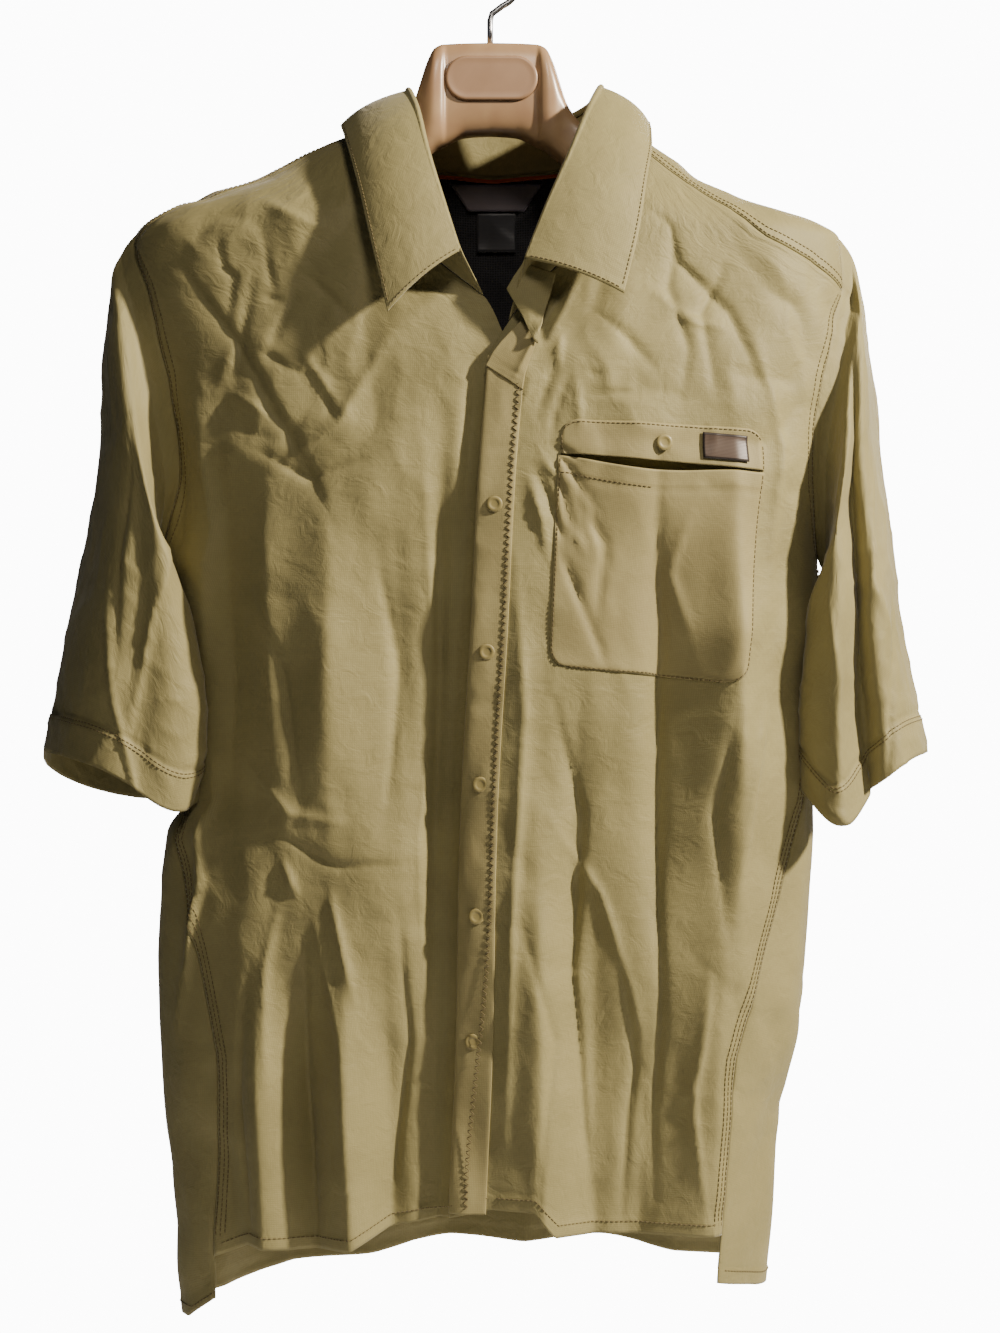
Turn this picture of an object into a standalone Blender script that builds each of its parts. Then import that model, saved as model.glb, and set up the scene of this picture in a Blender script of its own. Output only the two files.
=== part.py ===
"""Short-sleeved hiking shirt on a moulded hanger, hanging from the hanger's hook.

Frame: metres, +Z up, the shirt's front faces -Y, and the origin is the inside top of the
hook, where a rod holds it. The tables are in millimetres, "drop" is the distance below
the origin, and every table starts with its rising key. "Round" is the distance round the
body from the centre front towards +X, measured on one reference girth.
"""
import math
from collections import namedtuple

import bpy
import numpy as np

MM = 0.001
CLOTH = 1.4
COLLAR_CLOTH = 1.5
LABEL_CLOTH = 1.0
SEAM_GAP = 0.3
LAP_GAP = 0.45
BULGE = 0.8

# Body: half widths on the -X and +X sides, depth of the front and of the back.
Section = namedtuple("Section", "drop minus plus front back")
BODY = [
    Section(123, 92, 98, 10, 10),
    Section(129, 106, 106, 24, 25),
    Section(138, 125, 119, 36, 40),
    Section(153, 152, 137, 47, 47),
    Section(172, 198, 176, 57, 52),
    Section(182, 218, 206, 61, 54),
    Section(192, 230, 226, 64, 55),
    Section(222, 232, 229, 70, 58),
    Section(282, 226, 225, 78, 61),
    Section(342, 218, 218, 81, 63),
    Section(402, 210, 213, 80, 63),
    Section(440, 199, 213, 79, 62),
    Section(474, 191, 208.5, 78, 62),
    Section(514, 188.5, 205.5, 78, 62),
    Section(550, 191.5, 208, 77, 62),
    Section(576, 208.5, 210, 77, 62),
    Section(625, 212, 208, 77, 62),
    Section(690, 214, 201, 77, 62),
    Section(760, 210, 186, 78, 62),
    Section(820, 205, 183, 80, 63),
    Section(900, 200, 177, 82, 64),
]
SECTION_POWER = 2.5
GIRTH_WIDE, GIRTH_FRONT, GIRTH_BACK = 208, 78, 63
SHOULDER_DROP = 222      # above it the half widths only grow

# Levels at which the body's panels have a row, so that neighbours share their seam points.
LEVELS = (128, 136, 148, 162, 178, 197, 212, 226, 240, 258, 276, 295, 320, 332, 344, 372, 402,
          440, 477, 520, 552, 578, 610, 655, 700, 745, 790)
HEM_STEPS = (0.5, 1.0)   # two more rows between the last level and the hem
YOKE_LEVEL = 226         # back yoke seam
ARMPIT_LEVEL = 402

# Edges of the fronts: x against drop.
Edge = namedtuple("Edge", "drop x")
NECK_MINUS = [
    Edge(124, -91), Edge(150, -82), Edge(184, -62), Edge(214, -34), Edge(232, -12), Edge(240, -2),
    Edge(258, 7), Edge(276, 14),
]
NECK_PLUS = [
    Edge(124, 97), Edge(148, 89), Edge(187, 72), Edge(214, 48), Edge(236, 26), Edge(258, 10),
    Edge(276, -1),
]
PLACKET_EDGE = [
    Edge(276, -1), Edge(352, -7), Edge(430, -11), Edge(520, -16), Edge(620, -19), Edge(720, -22),
    Edge(840, -26),
]
OUTER_MINUS = [
    Edge(128, -93), Edge(143, -122), Edge(158, -150), Edge(177, -196), Edge(187, -213),
    Edge(197, -228), Edge(212, -224), Edge(226, -219), Edge(247, -213), Edge(284, -206),
    Edge(318, -203), Edge(350, -203), Edge(378, -206), Edge(402, -209.6), Edge(440, -198.6),
    Edge(477, -190), Edge(520, -187.5), Edge(552, -189), Edge(578, -200), Edge(622, -190),
    Edge(712, -172), Edge(845, -175),
]
OUTER_PLUS = [
    Edge(136, 96.5), Edge(141, 103), Edge(167, 135), Edge(199, 174), Edge(212, 204),
    Edge(226, 226), Edge(247, 218), Edge(284, 210), Edge(318, 206), Edge(350, 206),
    Edge(378, 209), Edge(402, 212.5), Edge(440, 212), Edge(477, 206.5), Edge(520, 202),
    Edge(552, 199), Edge(613, 183), Edge(691, 156), Edge(711, 150), Edge(860, 136),
]
CORNER_LEVEL = {-1: 197, 1: 226}      # where the forward yoke seam meets the armhole
TOP_LEVEL = {-1: 128, 1: 136}         # where the neck edge meets the forward yoke seam
# How far behind the side point the back armhole edge lies.
Behind = namedtuple("Behind", "drop reach")
BACK_ARMHOLE = [
    Behind(192, 0), Behind(212, 14), Behind(226, 24), Behind(258, 34), Behind(295, 38),
    Behind(332, 37), Behind(344, 34), Behind(372, 22), Behind(402, 0),
]
BACK_ARMHOLE_BEND = 344  # below it the back armhole runs in to the side seam
YOKE_TIP_X = 221.5       # the yoke's outermost column comes down here at the back
NECK_CORNER_X = 90       # outside it the back neck edge starts at NECK_CORNER_DROP
NECK_CORNER_DROP = 124.0

# Hems: drop against x on the front, and against the distance round from the centre back.
Hem = namedtuple("Hem", "place drop")
FRONT_HEM = [
    Hem(-180, 843), Hem(-150, 829), Hem(-112, 831), Hem(-84, 828), Hem(-62, 816), Hem(-26, 809),
    Hem(0, 803), Hem(28, 803), Hem(42, 819), Hem(62, 820), Hem(98, 821), Hem(136, 821),
]
BACK_HEM = [
    Hem(-313, 858), Hem(-275, 882), Hem(-236, 886), Hem(-170, 878), Hem(-60, 860), Hem(60, 856),
    Hem(170, 862), Hem(230, 866), Hem(270, 861), Hem(335, 846),
]

# Main folds: a centre line from one drop to another, a half width and a height (a trough is
# negative). An open fold keeps its height down to the hem.
Fold = namedtuple("Fold", "face x_top top x_end end width height is_open")
FOLDS = [
    Fold("front", -206, 250, -196, 430, 13, -7, False),
    Fold("front", -172, 260, -160, 600, 20, -5, False),
    Fold("front", -62, 330, -46, 620, 26, -9, False),
    Fold("front", -100, 330, -98, 600, 24, 5, False),
    Fold("front", -24, 240, -40, 842, 15, -8, True),
    Fold("front", -180, 640, -160, 842, 18, -6, True),
    Fold("front", -146, 620, -138, 842, 15, 11, True),
    Fold("front", -118, 610, -110, 842, 17, -11, True),
    Fold("front", -92, 600, -84, 842, 15, 12, True),
    Fold("front", -66, 610, -60, 842, 18, -11, True),
    Fold("front", 28, 500, 34, 842, 19, 12, True),
    Fold("front", 66, 520, 66, 842, 22, -10, True),
    Fold("front", 102, 290, 104, 660, 22, -6, False),
    Fold("front", 146, 290, 146, 680, 20, 6, False),
    Fold("front", 146, 540, 132, 842, 24, 11, True),
    Fold("back", -176, 420, -182, 892, 24, -9, True),
    Fold("back", -128, 380, -134, 892, 28, 10, True),
    Fold("back", -76, 420, -80, 892, 27, -11, True),
    Fold("back", -24, 330, -28, 892, 28, 11, True),
    Fold("back", 28, 420, 24, 892, 27, -10, True),
    Fold("back", 82, 350, 76, 892, 28, 10, True),
    Fold("back", 134, 430, 126, 892, 27, -11, True),
    Fold("back", 182, 440, 166, 892, 22, 7, True),
]
# The wearer's right front runs on under the placket.
PLACKET_WIDTH = 23.0
PLACKET_CELLS = 3
UNDERLAP_CELLS = 2
UNDERLAP_RAMP = 26.0
UNDERLAP_DIP = 2.4
FRONT_CELLS = {-1: 14, 1: 11}
# Where the fronts' columns pass from one spacing to the next: a drop and a reach below it.
Change = namedtuple("Change", "drop reach")
UNDERLAP_DIPS = Change(226, 32)
UNDERLAP_COLUMNS = Change(240, 36)
PLACKET_COLUMNS = Change(200, 76)
POCKET_COLUMNS = Change(260, 50)
POCKET_COLUMNS_END = Change(490, 90)

# Collar: "along" runs from its end on the -X front (-1) round the back (0) to the other (1).
Neck = namedtuple("Neck", "along face x drop")
NECKLINE = [
    Neck(-1.0, "front", -2, 240), Neck(-0.85, "front", -34, 214), Neck(-0.7, "front", -62, 184),
    Neck(-0.55, "front", -82, 150), Neck(-0.42, "back", -91, 123.5), Neck(-0.3, "back", -84, 127),
    Neck(-0.15, "back", -48, 136), Neck(0.0, "back", 2, 140), Neck(0.15, "back", 52, 136),
    Neck(0.3, "back", 89, 128), Neck(0.42, "back", 97, 124), Neck(0.55, "front", 89, 148),
    Neck(0.7, "front", 72, 187), Neck(0.85, "front", 44, 218), Neck(1.0, "front", 10, 258),
]
BACK_NECK_X = (-91, -84, -62, -40, -18, 3, 25, 47, 69, 89, 96)
Line = namedtuple("Line", "along x y drop")
ROLL_LINE = [
    Line(-1.0, -18, -90, 214), Line(-0.85, -27, -84, 186), Line(-0.7, -38, -71, 150),
    Line(-0.55, -47, -46, 114),
    Line(-0.42, -54, -10, 95), Line(-0.3, -52, 18, 96), Line(-0.15, -30, 40, 103), Line(0.0, 8, 46, 106),
    Line(0.15, 44, 40, 103), Line(0.3, 69, 18, 95), Line(0.42, 73, -10, 93), Line(0.55, 64, -46, 114),
    Line(0.7, 50, -71, 150), Line(0.85, 34, -85, 188), Line(1.0, 22, -92, 219),
]
FALL_EDGE = [
    Line(-1.0, -62, -98, 252), Line(-0.85, -72, -88, 210), Line(-0.7, -82, -70, 168),
    Line(-0.55, -91, -43, 136),
    Line(-0.42, -97, -8, 117), Line(-0.3, -90, 31, 124), Line(-0.15, -55, 56, 145), Line(0.0, 4, 62, 152),
    Line(0.15, 62, 56, 145), Line(0.3, 96, 31, 124), Line(0.42, 104, -8, 117), Line(0.55, 103, -43, 136),
    Line(0.7, 98, -70, 165), Line(0.85, 92, -86, 200), Line(1.0, 82, -98, 241),
]
STAND_CELLS = 3
FALL_CELLS = 4
STAND_TO_ROLL = 5.0      # the stand stops this far below the roll line
FALL_BOW = 4.0
FALL_CENTRE = (5, -10)   # the fall bows away from this x and y
NECK_SEAM = 0.6          # the stand starts this far above the neck edge
NECK_END_DROP = {-1: 240, 1: 258}
TAPE_LIFT = 0.5
TAPE_HEIGHT = 3.0
TAPE_ALONG = 0.35

# Sleeves: rings from the armhole to the hem, by their outer and inner points in the front
# view and their depth; front_low and back_low hang the front and the back lower.
Cuff = namedtuple("Cuff", "step outer_x outer_drop inner_x inner_drop front back front_low back_low")
SLEEVES = {
    -1: [Cuff(1, -241, 197, -213, 408, 50, 44, 0, 0), Cuff(2, -248, 214, -213, 416, 58, 50, 0, 0),
         Cuff(3, -251, 256, -209, 427, 62, 55, 0, 0), Cuff(4, -254, 306, -203.5, 440, 64, 58, 2, 2),
         Cuff(5, -259, 358, -198.5, 458, 65, 60, 4, 5), Cuff(6, -267, 405, -195.5, 474, 66, 61, 6, 9),
         Cuff(7, -276, 446, -193.5, 494, 66, 62, 9, 13), Cuff(8, -284, 484, -193, 518, 65, 62, 13, 16),
         Cuff(9, -290, 523, -197, 545, 64, 61, 19, 20)],
    1: [Cuff(1, 236, 200, 216, 408, 50, 44, 0, 0), Cuff(2, 242, 222, 218.5, 416, 58, 50, 0, 0),
        Cuff(3, 248, 262, 219, 428, 62, 55, 0, 0), Cuff(4, 252, 308, 218, 442, 64, 58, 3, 0),
        Cuff(5, 258, 352, 216, 458, 65, 60, 7, 0), Cuff(6, 264, 398, 213.5, 474, 66, 61, 12, 0),
        Cuff(7, 269, 440, 211, 492, 66, 62, 19, 0), Cuff(8, 277, 482, 210, 514, 65, 62, 26, 0),
        Cuff(9, 285, 524, 211.5, 541, 64, 61, 34, 0)],
}
FRONT_LOW_DEGREES = {-1: 124, 1: 102}    # where front_low acts most, from the outer point forwards
FRONT_LOW_SPREAD = 34
SLEEVE_TURN = 0.27         # the front half is turned in across the body by this share
SLEEVE_TURN_STEPS = 4
SLEEVE_POWER = 2.2
SLEEVE_BLEND_STEPS = 3.5
# The long fold down each sleeve's front: depth, and its place round the ring at both ends.
Groove = namedtuple("Groove", "depth top_degrees end_degrees width_degrees")
GROOVES = {-1: Groove(6, 60, 100, 17), 1: Groove(25, 55, 84, 15)}

# Hanger: sections across it, from the middle outwards.
Bar = namedtuple("Bar", "x top bottom deep")
HANGER_NECK = [
    Bar(0, 61.5, 121, 12.5), Bar(16, 61.8, 122, 12.5), Bar(30, 62.5, 128, 12.5), Bar(36, 65, 131, 12.3),
    Bar(41, 74, 135, 12), Bar(45, 86, 138, 12), Bar(50, 101, 142, 12.5), Bar(57, 112, 146, 13),
    Bar(66, 121, 150, 14), Bar(78, 129, 154, 14), Bar(90, 132, 156, 14),
]
ARM_INNER, ARM_OUTER = 100, 210
ARM_TIP_REACH = 7.0
ARM_HEIGHT = 24.0
ARM_DEEP_INNER = 15.0
ARM_DEEP_OUTER = 22.0
ARM_TIP_SCALE = 0.45
BAR_CORNERS = 12
BAR_POWER = 3.6
ARM_POWER = 2.3
HANGER_GAP = 0.45
HANGER_FACET = 1.4         # allows for the flat facets between sections
HOOK_WIRE_RADIUS = 2.0
HOOK_RADIUS = 20.0
HOOK_SEAT = 0.2            # the neck's top facet lies a little under its stated height
HOOK_START_DEGREES = -75
HOOK_OPENING_DEGREES = 205
HOOK_STEM = (12, 6)        # two points of the straight stem, below the arc
HOOK_CELLS = 18
HOOK_SIDES = 10
BADGE_CORNERS = 24
Badge = namedtuple("Badge", "x drop width height thick")
BADGE = Badge(1, 87, 60, 27, 1.6)

# Trims on the front.
SNAP_LEVELS = (368, 459, 541, 622, 700)
SNAP_INSET = 11.0
SNAP_RADIUS = 5.2
SNAP_THICK = 1.5
SNAP_GAP = 0.5
SNAP_SIDES = 16
POCKET_LEFT = 40.0
POCKET_RIGHT = 167.0
POCKET_CELLS = 6
POCKET_CORNER = 4.5
POCKET_SAG = 3.0
WELT_CORNER = 4.5
POCKET_GAP_Y = 1.5         # between the strip above and the pocket bag
WELT_TOP, WELT_END, POCKET_END = 320, 344, 477
POCKET_SNAP = Edge(332, 106)
Patch = namedtuple("Patch", "left right top bottom")
POCKET_LABEL = Patch(134, 160, 324, 338)

# Inside the back neck.
LINING_END = 295
NECK_LABEL = Patch(-27, 35, 144, 160)
NECK_LABEL_TAPER = 12.0
SIZE_LABEL = Patch(-9, 17, 163, 187)

COLOURS = {  # linear base colour, roughness, metallic
    "cloth": ((0.30, 0.24, 0.11), 0.85, 0.0),
    "cloth_trim": ((0.34, 0.27, 0.13), 0.80, 0.0),
    "mesh_lining": ((0.012, 0.012, 0.014), 0.90, 0.0),
    "tape": ((0.55, 0.10, 0.03), 0.80, 0.0),
    "label": ((0.05, 0.03, 0.03), 0.70, 0.0),
    "snap": ((0.33, 0.27, 0.14), 0.45, 0.0),
    "hanger": ((0.43, 0.28, 0.17), 0.35, 0.0),
    "badge": ((0.36, 0.22, 0.13), 0.40, 0.0),
    "steel": ((0.60, 0.60, 0.60), 0.25, 1.0),
}
COLLECTION = "hiking_shirt"


def lookup(rows, value, at):
    """A table's column against its key, straight between rows."""
    keys = [row[0] for row in rows]
    return np.interp(at, keys, [getattr(row, value) for row in rows])


def smooth_lookup(rows, value, at):
    """The same through a smooth curve that never overshoots the rows."""
    xs = np.array([row[0] for row in rows], float)
    ys = np.array([getattr(row, value) for row in rows], float)
    step = np.diff(xs)
    slope = np.diff(ys) / step
    tangent = np.zeros(len(xs))
    product = slope[:-1] * slope[1:]
    total = np.where(product > 0, slope[:-1] + slope[1:], 1.0)
    tangent[1:-1] = np.where(product > 0, 2 * product / total, 0.0)
    tangent[0] = slope[0]
    tangent[-1] = slope[-1]
    at = np.clip(np.asarray(at, float), xs[0], xs[-1])
    i = np.clip(np.searchsorted(xs, at, side="right") - 1, 0, len(xs) - 2)
    h = step[i]
    t = (at - xs[i]) / h
    return (
        ys[i] * (1 + 2 * t) * (1 - t) ** 2
        + tangent[i] * h * t * (1 - t) ** 2
        + ys[i + 1] * t * t * (3 - 2 * t)
        + tangent[i + 1] * h * t * t * (t - 1)
    )


def ease(t):
    t = np.clip(t, 0.0, 1.0)
    return t * t * (3 - 2 * t)


def signed_power(value, power):
    return np.sign(value) * np.abs(value) ** power


# The reference girth, which turns an angle round the body into a distance and back.
GIRTH_ANGLE = np.linspace(-math.pi, math.pi, 2881)
GIRTH_X = GIRTH_WIDE * signed_power(np.sin(GIRTH_ANGLE), 2 / SECTION_POWER)
GIRTH_DEEP = np.where(np.cos(GIRTH_ANGLE) > 0, GIRTH_FRONT, GIRTH_BACK)
GIRTH_Y = GIRTH_DEEP * signed_power(np.cos(GIRTH_ANGLE), 2 / SECTION_POWER)
GIRTH_RUN = np.concatenate([[0], np.cumsum(np.hypot(np.diff(GIRTH_X), np.diff(GIRTH_Y)))])
GIRTH_RUN = GIRTH_RUN - GIRTH_RUN[len(GIRTH_RUN) // 2]
SIDE_ROUND = float(np.interp(math.pi / 2, GIRTH_ANGLE, GIRTH_RUN))
BACK_ROUND = float(GIRTH_RUN[-1])


def round_at(x, drop, face="front"):
    """Distance round the body of a place given by x and drop on the front or the back."""
    x = np.asarray(x, float)
    half = np.where(x < 0, smooth_lookup(BODY, "minus", drop), smooth_lookup(BODY, "plus", drop))
    ratio = np.clip(np.abs(x) / half, 0, 1)
    angle = np.arcsin(ratio ** (SECTION_POWER / 2))
    if face == "back":
        angle = math.pi - angle
    return np.interp(angle, GIRTH_ANGLE, GIRTH_RUN) * np.where(x < 0, -1, 1)


def plain_point(around, drop):
    """The body without folds: points at distances round and drops."""
    drop = np.asarray(drop, float)
    angle = np.interp(around, GIRTH_RUN, GIRTH_ANGLE)
    sine, cosine = np.sin(angle), np.cos(angle)
    wide = np.where(sine < 0, smooth_lookup(BODY, "minus", drop), smooth_lookup(BODY, "plus", drop))
    deep = np.where(cosine > 0, smooth_lookup(BODY, "front", drop), smooth_lookup(BODY, "back", drop))
    power = 2 / SECTION_POWER
    return np.stack([wide * signed_power(sine, power), -deep * signed_power(cosine, power), -drop], axis=-1)


def fold_lift(around, drop):
    """How far the main folds lift the cloth off the plain body."""
    lift = np.zeros(np.broadcast(around, drop).shape)
    for fold in FOLDS:
        along = (drop - fold.top) / (fold.end - fold.top)
        x = fold.x_top + (fold.x_end - fold.x_top) * along
        middle = round_at(x, drop, fold.face)
        away = np.abs(around - middle)
        away = np.minimum(away, 2 * BACK_ROUND - away)
        inside = np.clip(along, 0, 1)
        strength = ease(inside * 1.6) if fold.is_open else np.sin(math.pi * inside) ** 2
        lift = lift + fold.height * strength * np.exp(-(away / fold.width) ** 2)
    return lift


def unit(vectors):
    return vectors / np.maximum(np.linalg.norm(vectors, axis=-1, keepdims=True), 1e-9)


def body_point(around, drop, out=0.0):
    """Points on the folded body, moved out by a distance."""
    around, drop = np.broadcast_arrays(np.asarray(around, float), np.asarray(drop, float))
    reach = 1.5
    across = plain_point(around + reach, drop) - plain_point(around - reach, drop)
    down = plain_point(around, drop + reach) - plain_point(around, drop - reach)
    normal = unit(np.cross(down, across))
    return plain_point(around, drop) + normal * (fold_lift(around, drop) + out)[..., None]


def grid_normals(points, loop=False):
    """Outward unit normals of a grid whose columns run on with "round" and rows run down."""
    if loop:
        across = np.roll(points, -1, axis=1) - np.roll(points, 1, axis=1)
    else:
        across = np.gradient(points, axis=1)
    down = np.gradient(points, axis=0)
    return unit(np.cross(down, across))


def moved_out(points, distance):
    """A copy of a grid moved along its own normals."""
    return points + grid_normals(points) * np.asarray(distance)[..., None]


def material(name):
    found = bpy.data.materials.get(name)
    if found:
        return found
    made = bpy.data.materials.new(name)
    made.use_nodes = True
    colour, rough, metal = COLOURS[name]
    shader = made.node_tree.nodes["Principled BSDF"]
    shader.inputs["Base Color"].default_value = (*colour, 1)
    shader.inputs["Roughness"].default_value = rough
    shader.inputs["Metallic"].default_value = metal
    return made


def mesh_object(name, points, faces, finish):
    """A named object from points in millimetres."""
    mesh = bpy.data.meshes.new(name)
    mesh.from_pydata([tuple(float(v) * MM for v in p) for p in points], [], faces)
    mesh.materials.append(material(finish))
    mesh.shade_smooth()
    made = bpy.data.objects.new(name, mesh)
    bpy.data.collections[COLLECTION].objects.link(made)
    return made


Panel = namedtuple("Panel", "rounds drops out")


def surface(panel, depth=0.0):
    """A body panel's outer surface, or the one at a depth under it."""
    return body_point(panel.rounds, panel.drops, panel.out - depth)


def panel_wall(name, panel, finish="cloth", top=0.0, thick=CLOTH):
    """A body panel between two depths under its outer surface; neighbours' rims never cross."""
    outer, inner = surface(panel, top), surface(panel, top + thick)
    rows, cols = outer.shape[:2]
    points = np.concatenate([outer.reshape(-1, 3), inner.reshape(-1, 3)])
    under = rows * cols
    faces = []
    for i in range(rows - 1):
        for j in range(cols - 1):
            a, b = i * cols + j, (i + 1) * cols + j
            faces.append((a, b, b + 1, a + 1))
            faces.append((under + a, under + a + 1, under + b + 1, under + b))
    rim = list(range(cols)) + [i * cols + cols - 1 for i in range(1, rows)]
    rim += [(rows - 1) * cols + j for j in range(cols - 2, -1, -1)]
    rim += [i * cols for i in range(rows - 2, 0, -1)]
    for a, b in zip(rim, rim[1:] + rim[:1]):
        faces.append((a, b, under + b, under + a))
    mesh_object(name, points, faces, finish)


def cloth_wall(name, grid, finish="cloth", thick=CLOTH, loop=False):
    """A sheet lofted through the rows of a grid and given its thickness on the inner side."""
    rows, cols = grid.shape[:2]
    faces = []
    for i in range(rows - 1):
        for j in range(cols if loop else cols - 1):
            k = (j + 1) % cols
            faces.append((i * cols + j, (i + 1) * cols + j, (i + 1) * cols + k, i * cols + k))
    made = mesh_object(name, grid.reshape(-1, 3), faces, finish)
    solid = made.modifiers.new("thickness", "SOLIDIFY")
    solid.thickness = thick * MM
    solid.offset = -1
    return made


# Body panels

def eased(drop, change):
    """How far a change between two drops has come at a drop, from 0 to 1."""
    return ease((drop - change.drop) / change.reach)


def front_levels(side):
    return [level for level in LEVELS if level >= TOP_LEVEL[side]]


def placket_x(drop):
    return float(lookup(PLACKET_EDGE, "x", max(drop, PLACKET_EDGE[0].drop)))


def front_lines_minus(drop):
    """x of each column of the wearer's right front, from its side to the centre."""
    outer = float(lookup(OUTER_MINUS, "x", drop)) + SEAM_GAP / 2
    inner = float(lookup(NECK_MINUS, "x", drop))
    edge = placket_x(drop)
    count = FRONT_CELLS[-1] + 2 + UNDERLAP_CELLS
    even = np.linspace(outer, inner, count + 1)
    if drop <= UNDERLAP_COLUMNS.drop:
        return even
    lap = PLACKET_WIDTH / PLACKET_CELLS
    fixed = np.concatenate([
        np.linspace(outer, edge - UNDERLAP_RAMP, FRONT_CELLS[-1] + 1),
        [edge - UNDERLAP_RAMP / 2],
        edge + lap * np.arange(UNDERLAP_CELLS + 1),
    ])
    return even + (fixed - even) * eased(drop, UNDERLAP_COLUMNS)


def front_lines_plus(drop):
    """x of each column of the wearer's left front, from the centre to its side."""
    outer = float(lookup(OUTER_PLUS, "x", drop)) - SEAM_GAP / 2
    inner = float(lookup(NECK_PLUS, "x", drop)) if drop < NECK_PLUS[-1].drop else placket_x(drop)
    count = PLACKET_CELLS + FRONT_CELLS[1]
    even = np.linspace(inner, outer, count + 1)
    rest = FRONT_CELLS[1] - POCKET_CELLS - 2
    placket = inner + np.linspace(0, PLACKET_WIDTH, PLACKET_CELLS + 1)
    plain = np.concatenate([placket, np.linspace(placket[-1], outer, FRONT_CELLS[1] + 1)[1:]])
    pocket = np.linspace(POCKET_LEFT, POCKET_RIGHT, POCKET_CELLS + 1)
    fixed = np.concatenate([
        placket, [(placket[-1] + pocket[0]) / 2], pocket, np.linspace(pocket[-1], outer, rest + 1)[1:],
    ])
    share = eased(drop, POCKET_COLUMNS) * (1 - eased(drop, POCKET_COLUMNS_END))
    below = plain + (fixed - plain) * share
    return even + (below - even) * eased(drop, PLACKET_COLUMNS)


def underlap_dip(x, drop):
    """How far the wearer's right front dips to pass under the placket."""
    start = placket_x(drop) - UNDERLAP_RAMP
    return -UNDERLAP_DIP * ease((x - start) / UNDERLAP_RAMP) * float(eased(drop, UNDERLAP_DIPS))


def with_hem(rows, drops, hem_drops):
    """Rows of round distances and drops, with rows added down to the hem."""
    last_round, last_drop = rows[-1], drops[-1]
    for step in HEM_STEPS:
        rows.append(last_round)
        drops.append(last_drop + (hem_drops - last_drop) * step)
    return np.array(rows), np.array(drops)


def front_panel(side):
    lines = front_lines_minus if side < 0 else front_lines_plus
    rounds, drops, dips = [], [], []
    for level in front_levels(side):
        x = lines(level)
        rounds.append(round_at(x, level))
        drops.append(np.full(len(x), float(level)))
        dips.append(underlap_dip(x, level) if side < 0 else np.zeros(len(x)))
    x = lines(LEVELS[-1])
    rounds, drops = with_hem(rounds, drops, lookup(FRONT_HEM, "drop", x))
    dips = np.array(dips + [dips[-1]] * len(HEM_STEPS))
    return Panel(rounds, drops, dips)


def outer_round(side, drop):
    """Distance round of the side edge of the front (armhole or side seam)."""
    rows = OUTER_MINUS if side < 0 else OUTER_PLUS
    return float(round_at(lookup(rows, "x", drop), drop))


def back_edge(side, drop):
    """Distance round of the back's edge: the back armhole, then the side seam."""
    if drop >= ARMPIT_LEVEL:
        return outer_round(side, drop)
    blend = float(ease((drop - BACK_ARMHOLE_BEND) / (ARMPIT_LEVEL - BACK_ARMHOLE_BEND)))
    behind = side * (SIDE_ROUND + float(lookup(BACK_ARMHOLE, "reach", drop)))
    return behind * (1 - blend) + outer_round(side, ARMPIT_LEVEL) * blend


BACK_SIDE_CELLS = 9


def back_columns(drop):
    """Distances round of the back's columns, from the +X side to the -X side."""
    plus = back_edge(1, drop) + SEAM_GAP / 2
    minus = 2 * BACK_ROUND + back_edge(-1, drop) - SEAM_GAP / 2
    middle = round_at(np.array(BACK_NECK_X[1:-1]), YOKE_LEVEL, "back")
    middle = np.where(middle < 0, middle + 2 * BACK_ROUND, middle)[::-1]
    return np.concatenate([
        np.linspace(plus, middle[0], BACK_SIDE_CELLS + 1)[:-1], middle,
        np.linspace(middle[-1], minus, BACK_SIDE_CELLS + 1)[1:],
    ])


def wrapped(around):
    """Distances round brought back to the range of the girth."""
    return (around + BACK_ROUND) % (2 * BACK_ROUND) - BACK_ROUND


def back_panel():
    rounds, drops = [], []
    for level in LEVELS:
        if level < YOKE_LEVEL:
            continue
        rounds.append(back_columns(level))
        drops.append(np.full(len(rounds[-1]), float(level)))
    drops[0] = drops[0] + SEAM_GAP
    hem = lookup(BACK_HEM, "drop", BACK_ROUND - rounds[-1])
    rounds, drops = with_hem(rounds, drops, hem)
    return Panel(wrapped(rounds), drops, np.zeros(drops.shape))


YOKE_CELLS = 7


def yoke_path(x_start, drop_start, x_end, over):
    """Round distances and drops from the front seam (or the neck) over the shoulder to the back."""
    sign = 1 if x_start > 0 else -1
    tall = np.linspace(BODY[0].drop, SHOULDER_DROP, 400)
    wide = smooth_lookup(BODY, "plus" if sign > 0 else "minus", tall)
    ridge = float(np.interp(abs(x_start + x_end) / 2, wide, tall))
    fine = np.linspace(0, 1, 60) ** 2
    rounds, drops = [], []
    if over:
        down = ridge + (drop_start - ridge) * fine[::-1]
        rounds.append(round_at(np.linspace(x_start, (x_start + x_end) / 2, 60), down, "front"))
        drops.append(down)
        start = ridge
    else:
        start = drop_start
    down = start + (YOKE_LEVEL - start) * (fine if over else np.linspace(0, 1, 60))
    x_from = (x_start + x_end) / 2 if over else x_start
    rounds.append(round_at(np.linspace(x_from, x_end, 60), down, "back"))
    drops.append(down)
    rounds, drops = np.concatenate(rounds), np.concatenate(drops)
    points = plain_point(rounds, drops)
    run = np.concatenate([[0], np.cumsum(np.linalg.norm(np.diff(points, axis=0), axis=1))])
    even = np.linspace(0, run[-1], YOKE_CELLS + 1)
    return np.interp(even, run, rounds), np.interp(even, run, drops)


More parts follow.
